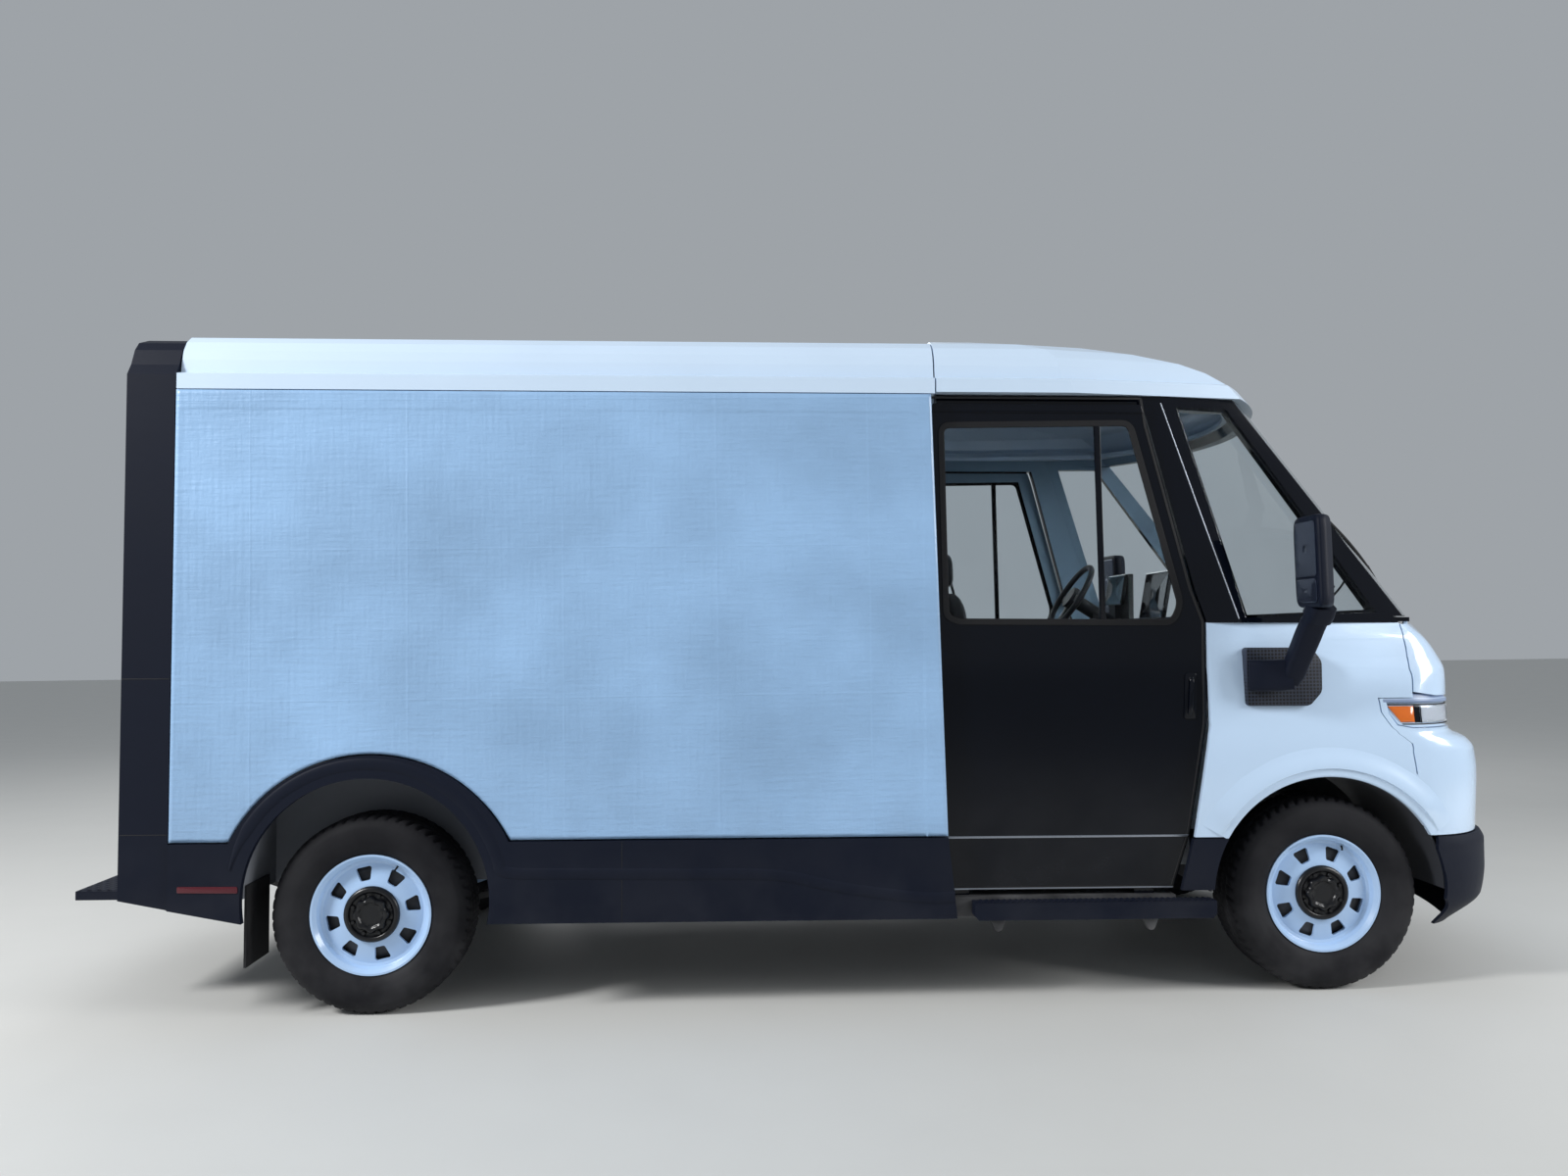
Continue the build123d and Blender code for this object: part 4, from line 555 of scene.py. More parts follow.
def turned(profile, centre, middle, side, around, lobes=None):
    """A surface of revolution about a line along Y: profile points (radius, y outwards from middle) turned
    round centre (x, z), all in mm of the row frame. lobes(angle, radius) may add to the radius."""
    profile = np.asarray(profile, float)
    a = np.linspace(0, 2 * pi, around, endpoint=False)[None, :]
    radius = profile[:, :1] + (lobes(a, profile[:, :1]) if lobes else 0 * a)
    y = middle + side * np.broadcast_to(profile[:, 1:], radius.shape)
    return np.stack([centre[0] + radius * np.cos(a), y, centre[1] + radius * np.sin(a)], -1)


# ------------------------------------------------------------ the side panels
PANEL_X = (-2712.0, 366.0, 308.0)                 # rear edge, front edge at the foot, front edge at the rail
PANEL_Z = (678.0, 2470.0)
PANEL_WALL, BORDER_STEP = 26, 2.0
FLARE = (REAR_WHEEL[0] + 13.0, REAR_WHEEL[1] + 38.0, 611.0)     # the panel's round cut over the wheel
WAVES = ((6.0, 6.9, 4.6, 0.4), (5.0, -5.6, 7.0, 2.0), (3.4, 11.3, -6.1, 4.1), (2.8, 4.7, 10.9, 1.2),
         (1.3, 16.1, 9.5, 5.3), (1.0, -12.0, 15.0, 0.9))        # height, radians a metre along and up, phase


def soft_step(x, low, high):
    """0 below low, 1 above high, with the cubic 3t^2 - 2t^3 between."""
    t = np.clip((x - low) / (high - low), 0, 1)
    return t * t * (3 - 2 * t)


def panel_swell(x, z):
    """How far the laminate stands off flat: six crossed slow waves, and a field sunk 2 mm inside a smooth
    border with a rounded inner corner. The fade that takes the waves to nothing at the border lets 18 per
    cent of them through in the middle, so they are 0.2 to 1.1 mm high each."""
    wave = np.zeros_like(x)
    for size, along, up, phase in WAVES:
        bend = 1.1 * np.sin(2.3 * z / 1000 + x / 900)
        wave += size * np.sin(along * x / 1000 + up * z / 1000 + phase + bend)
    corner = np.hypot(np.maximum(x - 216, 0), np.maximum(z - 2335, 0)) - 60
    fade = soft_step(-corner, 0, 220) * soft_step(x, -2700, -2500)
    field = (1 - soft_step(corner, -7, 7)) * soft_step(x, -2704, -2690)
    return wave * fade - BORDER_STEP * field


def side_skin(side):
    """Panel points: x runs along, z from the lower edge (the belt, or the wheel flare's circle) to the rail.
    The border's step gets more rows and columns, and two more columns stand near the flare's feet."""
    cx, cz, reach = FLARE
    rear, low_front, top_front = PANEL_X
    foot = (reach**2 - (PANEL_Z[0] - cz) ** 2) ** 0.5
    near_feet = (np.array([cx - foot, cx + foot]) - rear) / 3050
    u = np.unique(np.concatenate([np.linspace(0, 1, 216), np.linspace(0.955, 0.995, 24), near_feet]))
    v = np.unique(np.concatenate([np.linspace(0, 1, 112), np.linspace(0.945, 0.975, 16)]))[:, None]
    low_x = rear + u * (low_front - rear)
    top_x = rear + u * (top_front - rear)
    low_z = np.where(np.abs(low_x - cx) < foot,
                     cz + np.sqrt(np.maximum(reach**2 - (low_x - cx) ** 2, 0)), PANEL_Z[0])
    z = low_z + v * (PANEL_Z[1] - low_z)
    x = low_x + (top_x - low_x) * (z - PANEL_Z[0]) / (PANEL_Z[1] - PANEL_Z[0])
    y = side * (HALF_WIDTH + panel_swell(x, z))
    return np.stack([x, y, z], -1), False, False, False


def make_side_skins():
    for name, side in SIDES.items():
        skin = make_piece(f"panel_skin_{name}", [side_skin(side)], LOOKS["panel_white"], "body",
                          closed=False, outward=(0, side, 0), thick=PANEL_WALL)
        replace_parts(skin, "side_panels")


# ------------------------------------------------------------ tyres and hubs
TYRE_RADIUS, TYRE_HALF_WIDTH = 395.0, 125.0
TYRE_ROWS, TYRE_COLUMNS, HUB_COLUMNS = 72, 448, 96
TREAD_DEPTH = 7.5
LOBES = 8


def wheel_place(corner):
    """A wheel's centre (x, z), its middle y and its side of the van, in mm of the row frame, from its box."""
    low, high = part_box(f"tyre_{corner}")
    middle = (low[1] + high[1]) * 500
    return ((low[0] + high[0]) * 500, (low[2] + high[2]) * 500), middle, (-1 if middle < 0 else 1)


def tyre_section(count):
    """The tyre's closed cross section, (radius, y) from the inner bead over the tread and back inside."""
    half = [(236, 84), (243, 98), (262, 113), (290, 122), (318, 125), (345, 122), (366, 114), (381, 103),
            (390, 92), (393.5, 78), (395, 55), (395.5, 28), (395.5, 0)]
    lining = [(377, 0), (376, 60), (368, 88), (345, 104), (318, 107), (285, 102), (255, 88), (240, 78)]
    outer = [(r, -y) for r, y in half] + [(r, y) for r, y in half[-2::-1]]
    inner = [(r, y) for r, y in lining[::-1]] + [(r, -y) for r, y in lining[1:]]
    outer_path, inner_path = smooth_path(outer, count), np.array(inner, float)
    return outer_path, inner_path


def tread(angle, y, radius):
    """How deep the tread is cut: three zigzag grooves round the tyre, slanting cross grooves in the
    shoulders and fine cuts in the ribs; and how far a few rings and short ribs stand out on the sidewalls."""
    zig = 3.0 * np.sin(angle * 60)
    grooves = np.zeros(np.broadcast(angle, y).shape)
    for place, width in ((-46, 6.5), (0, 6.0), (46, 6.5)):
        grooves = np.maximum(grooves, 1 - soft_step(np.abs(y - place - zig), width - 2.2, width + 2.2))
    slant = angle * 56 / (2 * pi) + y / 110 * 1.1
    cross = 1 - soft_step(np.abs(slant % 1 - 0.5), 0.11, 0.2)
    shoulder = soft_step(np.abs(y), 56, 64)
    fine = 0.45 * (1 - soft_step(np.abs((slant * 2) % 1 - 0.5), 0.05, 0.16)) * (1 - shoulder)
    on_tread = soft_step(radius, 380, 388)
    cut = np.maximum(np.maximum(grooves, cross * shoulder), fine) * on_tread * TREAD_DEPTH
    ring = 1.2 * np.exp(-((radius - 352) / 4) ** 2) + 0.9 * np.exp(-((radius - 300) / 3) ** 2)
    wall_rib = 0.8 * np.exp(-((radius - 372) / 6) ** 2) * (0.5 + 0.5 * np.sign(np.sin(angle * 112)))
    return cut, ring + wall_rib


def make_tyre(corner):
    """Tyre points: the cross section turned round the axle, less the tread's cuts along the radius."""
    centre, middle, _ = wheel_place(corner)
    outer, inner = tyre_section(TYRE_ROWS)
    a = np.linspace(0, 2 * pi, TYRE_COLUMNS, endpoint=False)[None, :]
    cut, raised = tread(a, outer[:, 1:], outer[:, :1])
    room = TYRE_HALF_WIDTH - np.abs(outer[:, 1:])
    outer_radius = np.minimum(outer[:, :1] - cut, TYRE_RADIUS)
    outer_y = outer[:, 1:] + np.sign(outer[:, 1:]) * np.minimum(raised, room)
    radius = np.concatenate([outer_radius, np.repeat(inner[:, :1], TYRE_COLUMNS, 1)])
    y = np.concatenate([outer_y, np.repeat(inner[:, 1:], TYRE_COLUMNS, 1)])
    grid = np.stack([centre[0] + radius * np.cos(a), middle + y, centre[1] + radius * np.sin(a)], -1)
    tyre = make_piece(f"tread_{corner}", [(grid, True, True, False)], LOOKS["tyre"], f"wheel_{corner}",
                      in_row=True, sharp=60)
    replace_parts(tyre, f"tyre_{corner}")


def make_hub(corner):
    """A dished black cup whose hub nut has eight rounded lobes, with a bolt between each pair of them; a brake
    drum behind the wheel, and a slim valve on it."""
    centre, middle, side = wheel_place(corner)
    body = f"wheel_{corner}"
    cup = [(112, 84), (111, 90), (106, 96), (100, 99), (94, 99), (90, 96), (87, 90), (84, 88), (74, 88), (71, 90),
           (68, 102), (64, 107), (56, 108.5), (50, 106), (47, 101), (44, 99), (30, 99.5), (12, 100), (1, 100)]
    bolt = [(9, 86), (9, 94), (7.5, 96), (0.5, 96.5)]
    drum = [(80, 46), (120, 46), (170, 40), (192, 30), (200, 20), (201, -16), (196, -16), (188, 20), (120, 38),
            (80, 38)]

    def lobes(a, radius):
        return 5.0 * np.cos(LOBES * a) * soft_step(radius, 40, 62) * (1 - soft_step(radius, 70, 76))

    sheets = [(turned(cup, centre, middle, side, HUB_COLUMNS, lobes), False, True, True)]
    for k in range(LOBES):
        a = (k + 0.5) * 2 * pi / LOBES
        place = (centre[0] + 79 * cos(a), centre[1] + 79 * sin(a))
        sheets.append((turned(bolt, place, middle, side, 6), False, True, True))
    make_piece(f"hub_cap_{corner}", sheets, HUB_BLACK, body, in_row=True)
    make_piece(f"brake_drum_{corner}", [(turned(drum, centre, middle, side, HUB_COLUMNS), True, True, False)],
               LOOKS["chassis_black"], body, in_row=True)
    a = radians(62)
    stem = np.array([[centre[0] + r * cos(a), middle + side * y, centre[1] + r * sin(a)]
                     for r, y in ((214, 58), (206, 74), (196, 84))])
    make_piece(f"valve_{corner}", [swept(smooth_path(stem, 9), 4, 4, 2, 12)], LOOKS["rubber_black"], body,
               in_row=True)


# ------------------------------------------------------------ mirrors
HEAD_Z = (1592.0, 1955.0)
HEAD_LEAN = (6, 8)                                # mm backwards and inwards from the head's foot to its top
HEAD_REAR, HEAD_IN, REAR_SLOPE = 1764, 92, 0.0812      # rear face: x at its inner edge, that edge, its slope
PANES = ((1712, 1930, 2.0), (1612, 1704, 4.0))    # foot, top and bulge of the main and the wide-angle pane


def mirror_head(side):
    """Mirror housing: plan outlines (rear face flat, front bulged) stacked up Z, scaled by a superellipse of
    height so that top and bottom are rounded, and leaning outwards and forwards a little towards the foot."""
    z_low, z_high = HEAD_Z
    plan = rounded([(HEAD_REAR, HEAD_IN), (1745, 326), (1752, 338), (1778, 338), (1826, 290), (1850, 214),
                    (1838, 124), (1800, HEAD_IN)], 22)
    s = np.sin(np.linspace(-pi / 2, pi / 2, 40))
    z = (z_low + z_high) / 2 + s * (z_high - z_low) / 2
    scale = (1 - np.abs(s) ** 9) ** (1 / 7) * 0.86 + 0.14
    middle = plan.mean(0)
    rings = middle + (plan - middle) * scale[:, None, None]
    lean = ((z - z_low) / (z_high - z_low))[:, None]
    x = rings[..., 0] - HEAD_LEAN[0] * lean
    y = side * (HALF_WIDTH + rings[..., 1] - HEAD_LEAN[1] * lean)
    return np.stack([x, y, np.broadcast_to(z[:, None], x.shape)], -1), False, True, True


def mirror_pane(side):
    """Mirror glass: rings of a rounded outline drawn in to its middle, 2.5 mm off the housing's rear face,
    bulged by 2 mm over the main pane and 4 mm over the lower wide-angle one."""
    sheets = []
    for z_low, z_high, bulge in PANES:
        outline = rounded([(116, z_low), (316, z_low), (310, z_high), (116, z_high)], 22)
        mid = outline.mean(0)
        rings = []
        for share in (1.0, 0.97, 0.8, 0.6, 0.4, 0.2, 0.01):
            out, z = (mid + (outline - mid) * share).T
            lean = (z - HEAD_Z[0]) / (HEAD_Z[1] - HEAD_Z[0])
            x = HEAD_REAR - (out - HEAD_IN) * REAR_SLOPE - 2.5 - bulge * (1 - share**2) - HEAD_LEAN[0] * lean
            rings.append(np.stack([x, side * (HALF_WIDTH + out - 4), z], -1))
        sheets.append((np.stack(rings), False, True, False))
    return sheets


def make_mirrors():
    """A perforated plate on the cab's side, a foot, an arm whose width and thickness vary along it, a knuckle
    and the head, and the two panes."""
    plate = rounded([(1598, 1195), (1862, 1195), (1913, 1252), (1913, 1378), (1872, 1433), (1598, 1433)], 18)
    foot = ((1600, 20, 1320), (1640, 34, 1320), (1700, 42, 1321), (1758, 52, 1326))
    arm = ((1758, 46, 1290), (1768, 66, 1350), (1786, 108, 1440), (1800, 152, 1520), (1806, 196, 1572),
           (1806, 206, 1600))
    knuckle = ((1808, 176, 1556), (1809, 196, 1575), (1810, 212, 1603))
    t, stations = np.linspace(0, 1, 30), [0, 0.15, 0.5, 0.8, 1]
    wide, thick = np.interp(t, stations, [30, 44, 47, 44, 40]), np.interp(t, stations, [26, 34, 36, 34, 32])
    for name, side in SIDES.items():
        def path(points, count):
            """A smooth path through points (x, out from the van's side, z)."""
            return smooth_path([(x, side * (HALF_WIDTH + out), z) for x, out, z in points], count)

        base = make_piece(f"mirror_plate_{name}", [slab(plate, side, HALF_WIDTH - 48, HALF_WIDTH + 4, 3)],
                          PERFORATED, "body")
        sheets = [mirror_head(side),
                  swept(path(foot, 16), np.linspace(60, 62, 16), np.linspace(26, 34, 16), 7, 40),
                  swept(path(arm, 30), wide, thick, 4.0, 40),
                  swept(path(knuckle, 8), 50, 44, 4.5, 36)]
        head = make_piece(f"mirror_arm_{name}", sheets, LOOKS["cladding_black"], "body")
        pane = make_piece(f"mirror_glass_{name}", mirror_pane(side), MIRROR, "body",
                          closed=False, outward=(-1, 0, 0), thick=2, sharp=70)
        for piece in (base, head, pane):
            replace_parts(piece, "mirrors")


# ------------------------------------------------------------ door trim
WINDOW = rounded([(356, 2350), (372, 1567), (418, 1543), (1312, 1538), (1346, 1615), (1142, 2363)], 38)
DIVIDER = rounded([(1010, 1534), (1034, 1534), (1018, 2366), (992, 2366)], 3)
HEADER = rounded([(318, 2404), (1200, 2404), (1190, 2440), (318, 2440)], 8)
STRIPS = (rounded([(306, 660), (1362, 660), (1366, 669), (306, 669)], 3),
          rounded([(306, 453), (1296, 453), (1298, 460), (306, 460)], 3))
PULL_CUP = rounded([(1352, 1140), (1402, 1140), (1408, 1330), (1360, 1330)], 14)
PULL = ((1376, 4, 1160), (1378, 12, 1185), (1384, 12, 1285), (1386, 4, 1310))      # x, out from the face, z
DOOR_EDGE = rounded([(304, 456), (1296, 456), (1367, 672), (1441, 1118), (1442, 1538), (1391, 1674), (1211, 2354),
                     (1194, 2470), (304, 2470)], 10)
PILLAR = ([1549, 2004, 2465], [1592, 1434, 1276])      # heights of the painted highlight's line down the front pillar, and x at each


def make_door_trim():
    """On each door: the window's seal, a divider and a header bar, two bright strips, a pull in its cup, and
    the seal round the door's edge."""
    face = DOOR_FACE
    for name, side in SIDES.items():
        pull = smooth_path([(x, side * (face + out), z) for x, out, z in PULL], 20)
        pieces = (("window_seal", [frame_band(inset(WINDOW, -14), 26, side, face - 5, face + 4)],
                   LOOKS["rubber_black"], "rubber_black"),
                  ("window_bars", [slab(DIVIDER, side, face - 12, face + 3), slab(HEADER, side, face, face + 5)],
                   LOOKS["gloss_black"], "gloss_black"),
                  ("door_strips", [slab(strip, side, face, face + 3, 1) for strip in STRIPS], TRIM_AND_HIGHLIGHT,
                   "gloss_black"),
                  ("door_handle", [slab(PULL_CUP, side, face, face + 5, 3), swept(pull, 9, 6, 3, 16)],
                   LOOKS["gloss_black"], "gloss_black"),
                  ("door_edge_seal", [frame_band(DOOR_EDGE, 9, side, face - 3, face + 2.5, 1)], SEAM_BLACK,
                   "rubber_black"))
        for part, sheets, look, slot in pieces:
            make_piece(f"{part}_{name}", sheets, look, f"door_{name}")


def on_skin(node, side, x, z):
    """The points where lines along Y from outside meet a node's surface, in metres of the row frame."""
    start = row(np.stack([x, np.full(len(x), side * 1500.0), z], -1))
    hits = [frame["nodes"][node].ray_cast(Vector(p), Vector((0, -side, 0))) for p in start.tolist()]
    return np.array([place for found, place, _, _ in hits if found])


def make_pillar_highlights():
    """A painted highlight down each front pillar's edge: a slim bright tube laid along the pillar's own surface.
    """
    z = np.linspace(2452, 1552, 40)
    x = np.interp(z, *PILLAR)
    for name, side in SIDES.items():
        path = on_skin("cab_frame", side, x, z) * 1000
        make_piece(f"pillar_highlight_{name}", [swept(path, 2.6, 1.8, 2, 12, up=(0, side, 0))], TRIM_AND_HIGHLIGHT, "body",
                   in_row=True)


# ------------------------------------------------------------ the nose: its skin, wheel arch lip and lamps
# Plan sections: height, tip, narrowing, taper in degrees, corner radius, angle where the corner's arc starts.
NOSE = np.array([(664, 2820, 0, 0, 390, 18), (910, 2832, 0, 0, 390, 18), (1005, 2820, 2, 0, 380, 18),
                 (1050, 2785, 4, 0, 360, 19), (1090, 2712, 7, 0, 310, 21), (1226, 2713, 15, 1, 280, 22),
                 (1340, 2732, 26, 2, 220, 26), (1400, 2724, 30, 3, 190, 29), (1470, 2702, 37, 4, 140, 33),
                 (1536, 2664, 45, 5.4, 80, 38)], float)
BUMPER = np.array([(285, 2700, 30, 0, 380, 18), (400, 2846, 5, 0, 400, 18), (520, 2861, 0, 0, 400, 18),
                   (620, 2861, 0, 0, 400, 18), (664, 2838, 0, 0, 395, 18)], float)
TAPER_ROOT, LINE_START = 1453, 1300               # x where the sides begin to taper, and where plans begin
CUT_STEP = 14                                     # height between the cuts of a nose panel
SKIN_REACH = (24, 44)                             # the move is whole within the first mm of the skin, gone at


def plan_arcs(tip, narrow, taper, corner, turn):
    """What a plan section's measures come to: the slope of its tapered side, the angles where its corner's
    arc starts and ends, the radius of the arc through the tip, and the centre of the corner's arc."""
    slope, start, end = np.tan(np.radians(taper)), np.radians(turn), np.radians(90 - taper)
    reach = HALF_WIDTH - narrow + corner * (np.sin(start) - np.sin(end))
    reach = reach - slope * (tip - corner * np.cos(start) + corner * np.cos(end) - TAPER_ROOT)
    radius = reach / (np.sin(start) + slope * (np.cos(start) - 1))
    mid_x, mid_y = tip - radius + (radius - corner) * np.cos(start), (radius - corner) * np.sin(start)
    return slope, start, end, radius, mid_x, mid_y


def nose_side(x, z):
    """Distance of the nose's skin from the middle plane at (x, z): the tapered side, then the corner's arc,
    then the arc through the tip, with the sections' measures interpolated over height."""
    z = np.clip(z, NOSE[0, 0], NOSE[-1, 0])
    tip, narrow, taper, corner, turn = (np.interp(z, NOSE[:, 0], NOSE[:, k]) for k in range(1, 6))
    slope, start, end, radius, mid_x, mid_y = plan_arcs(tip, narrow, taper, corner, turn)
    foot_x = mid_x + corner * np.cos(end)
    line = mid_y + corner * np.sin(end) + (foot_x - x) * slope
    on_corner = mid_y + np.sqrt(np.maximum(corner**2 - np.clip(x - mid_x, 0, corner) ** 2, 0))
    on_front = np.sqrt(np.maximum(radius**2 - np.maximum(x - (tip - radius), 0) ** 2, 0))
    start_x = mid_x + corner * np.cos(start)
    return np.where(x < foot_x, line, np.where(x < start_x, on_corner, on_front))


def plan_curve(level, count=80):
    """One half of a plan section as points (x, y): the tapered line, the corner's arc, the arc to the tip,
    count points each, even in length or angle."""
    _, tip, narrow, taper, corner, turn = level
    slope, start, end, radius, mid_x, mid_y = plan_arcs(tip, narrow, taper, corner, turn)
    foot_x, foot_y = mid_x + corner * np.cos(end), mid_y + corner * np.sin(end)
    t = np.linspace(0, 1, count)
    line = np.stack([LINE_START + (foot_x - LINE_START) * t, foot_y + (foot_x - LINE_START) * slope * (1 - t)], 1)
    turn_a = end + (start - end) * t
    corner_arc = np.stack([mid_x + corner * np.cos(turn_a), mid_y + corner * np.sin(turn_a)], 1)
    front_a = start * (1 - t)
    front = np.stack([tip - radius + radius * np.cos(front_a), radius * np.sin(front_a)], 1)
    return np.concatenate([line, corner_arc, front])


def eased(levels, z):
    """How far the smooth skin stands from the ruled one at heights z: (points, samples, 2). Between two
    sections the ruled skin is straight; the smooth one is the cubic through both with limited slopes
    (harmonic means of the neighbouring slopes, none where they change sign)."""
    heights = levels[:, 0]
    curves = np.stack([plan_curve(level) for level in levels])
    step = np.diff(heights)[:, None, None]
    rise = np.diff(curves, axis=0) / step
    slope = np.empty_like(curves)
    same = rise[:-1] * rise[1:] > 0
    slope[1:-1] = np.where(same, 2 * rise[:-1] * rise[1:] / np.where(same, rise[:-1] + rise[1:], 1), 0)
    slope[0], slope[-1] = rise[0], rise[-1]
    k = np.clip(np.searchsorted(heights, z, side="right") - 1, 0, len(heights) - 2)
    h = (heights[k + 1] - heights[k])[:, None, None]
    t = np.clip((z - heights[k]) / (heights[k + 1] - heights[k]), 0, 1)[:, None, None]
    ruled = curves[k] * (1 - t) + curves[k + 1] * t
    smooth = (curves[k] * (2 * t**3 - 3 * t**2 + 1) + curves[k + 1] * (3 * t**2 - 2 * t**3)
              + h * (slope[k] * (t**3 - 2 * t**2 + t) + slope[k + 1] * (t**3 - t**2)))
    return ruled, smooth - ruled


def smooth_panel(node, levels, body, look):
    """A nose panel whose skin is eased: a merged copy of the panel is cut every 14 mm of height, and each
    point near the skin moves by the difference between the smooth and the ruled skin at its nearest sample."""
    low, high = levels[0, 0], levels[-1, 0]
    mesh = frame["nodes"][node].data.copy()
    work = bmesh.new()
    work.from_mesh(mesh)
    bmesh.ops.remove_doubles(work, verts=work.verts, dist=MERGE)
    up = row((0, 0, 1000)) - row((0, 0, 0))
    for z in np.arange(low + CUT_STEP / 2, high, CUT_STEP):
        bmesh.ops.bisect_plane(work, geom=work.verts[:] + work.edges[:] + work.faces[:], dist=MERGE / 2,
                               plane_co=row((0, 0, z)), plane_no=up)
    place = np.array([v.co for v in work.verts])
    p = level_body(place)
    inside = (p[:, 2] > low - 1) & (p[:, 2] < high + 1)
    q = p[inside]
    ruled, move = eased(levels, np.clip(q[:, 2], low, high))
    away = np.hypot(ruled[..., 0] - q[:, :1], ruled[..., 1] - np.abs(q[:, 1:2]))
    near = away.argmin(1)
    index = np.arange(len(q))
    shift = move[index, near] * (1 - soft_step(away[index, near], *SKIN_REACH))[:, None]
    q = q + np.stack([shift[:, 0], np.sign(q[:, 1]) * shift[:, 1], 0 * shift[:, 0]], -1)
    place[inside] = row(q)
    for vertex, co in zip(work.verts, place.tolist()):
        vertex.co = co
    bmesh.ops.triangulate(work, faces=[f for f in work.faces if len(f.verts) > 4])
    for face in work.faces:
        face.smooth = True
    for edge in work.edges:
        edge.smooth = len(edge.link_faces) == 2 and edge.calc_face_angle(0) < radians(32)
    work.to_mesh(mesh)
    work.free()
    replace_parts(place_piece(f"{node}_skin", mesh, look, body), node)


def make_nose():
    for node, levels, body, slot in (("hood", NOSE, "hood", "body_white"),
                                     ("fenders", NOSE, "body", "body_white"),
                                     ("front_fascia", NOSE, "body", "body_white"),
                                     ("front_bumper", BUMPER, "body", "cladding_black")):
        smooth_panel(node, levels, body, LOOKS[slot])


def arch_lip(side):
    """The swell over the front wheel: along the arch by angle, outwards by radius; a flat lip 30 mm wide, a
    step up to a crest 17 mm proud, then a half cosine that dies away over 92 mm, and an edge rolled in under."""
    cx, cz = FRONT_WHEEL
    a = np.radians(np.linspace(151, 30.5, 120))[:, None]
    radius = np.array([488, 487.2, 487, 487.6, 489.5, 492, 496, 502, 510, 519, 521, 523, 527, 534, 543, 555, 568,
                       581, 594, 606, 617])[None, :]
    rise = np.array([-16, -8, -1, 3, 5, 6.2, 7, 7.4, 8, 9, 13, 17])
    fall = 17 * (0.5 + 0.5 * np.cos(np.clip((radius[0, 12:] - 525) / 92, 0, 1) * pi))
    shape = np.concatenate([rise, fall])[None, :]
    ends = soft_step(a, radians(30), radians(44)) * (1 - soft_step(a, radians(140), radians(152)))
    x, z = cx + radius * np.cos(a), cz + radius * np.sin(a)
    height = np.where(shape > 0, shape * (0.25 + 0.75 * ends), shape) - 0.3
    height = np.where(radius > 616, -1.5, height)
    return np.stack([x, side * (nose_side(x, z) + height), z], -1), False, False, False


def make_arch_lips():
    for name, side in SIDES.items():
        make_piece(f"arch_lip_{name}", [arch_lip(side)], LOOKS["body_white"], "body",
                   closed=False, outward=(0, side, 0), sharp=50)


def lamp_skin(side, x_span, z_span, out, rows=28, columns=14, bulge=0.0):
    """A patch of the nose's skin between two x and two z (each x may depend on z), moved out by out mm,
    with a pillow of bulge mm."""
    u, v = np.linspace(0, 1, rows)[:, None], np.linspace(0, 1, columns)[None, :]
    z = z_span[0] + v * (z_span[1] - z_span[0]) + 0 * u
    share = (z - z_span[0]) / (z_span[1] - z_span[0])
    x0 = x_span[0][0] + (x_span[0][1] - x_span[0][0]) * share
    x1 = x_span[1][0] + (x_span[1][1] - x_span[1][0]) * share
    x = x0 + u * (x1 - x0)
    pillow = bulge * np.sin(pi * u) ** 0.5 * np.sin(pi * v) ** 0.5
    return np.stack([x, side * (nose_side(x, z) + out + pillow), z], -1)


def shade_band_skin(side):
    """The grey-blue band of painted shade over a lamp, where the hood's edge overhangs the recess: x runs round
    the nose as a sine, so that its steps close up at the tip, and z over 15 mm, 0.6 mm proud of the skin; its
    upper edge steps in and stands up behind the hood's edge."""
    u = np.linspace(0, 1, 70)[:, None]
    z = np.array([1204.5, 1205, 1206, 1212, 1218, 1219.5, 1220.5, 1221, 1228, 1240])[None, :] + 0 * u
    out = np.array([-6, 0, 0.6, 0.7, 0.6, 0, -3, -15, -16, -17])[None, :]
    rear, tip = 2182, 2704
    x = rear + (tip - rear) * np.sin(u * pi / 2) + 0 * z
    return np.stack([x, side * (nose_side(x, z) + out), z], -1), False, False, False


LAMP_TIP = (2638, 2638)
LAMP_PARTS = (  # name, rear and front edge (x at the foot, x at the top), height, offset, bulge, finish
    ("turn_lens", ((2252, 2200), (2311, 2311)), (1124, 1190), -5, 5, AMBER),
    ("lamp_fins", ((2313, 2313), (2340, 2340)), (1122, 1192), -7, 0, LOOKS["gloss_black"]),
    ("clear_lens", ((2341, 2341), LAMP_TIP), (1122, 1192), -4, 4, LOOKS["lamp_clear"]),
    ("lamp_bowl", ((2343, 2343), (2636, 2636)), (1124, 1190), -7, 0, CHROME),
    ("lamp_joint_top", ((2204, 2196), LAMP_TIP), (1193, 1199), -6.5, 0, SEAM_BLACK),
    ("lamp_joint_low", ((2262, 2256), LAMP_TIP), (1114, 1119), -6.5, 0, SEAM_BLACK))


def make_lamps():
    """Each lamp: an amber turn lens, dark fins, a clear lens over a bright bowl, dark joints round them, and a
    grey-blue band of painted shade above; all lie on the nose's skin or just inside it."""
    for name, side in SIDES.items():
        for part, x_span, z_span, out, bulge, look in LAMP_PARTS:
            patch = lamp_skin(side, x_span, z_span, out, bulge=bulge)
            make_piece(f"{part}_{name}", [(patch, False, False, False)], look, "body", closed=False,
                       outward=(0, side, 0), thick=3)
        make_piece(f"lamp_shade_band_{name}", [shade_band_skin(side)], SHADE_BAND, "body", closed=False,
                   outward=(0, side, 0), sharp=70)


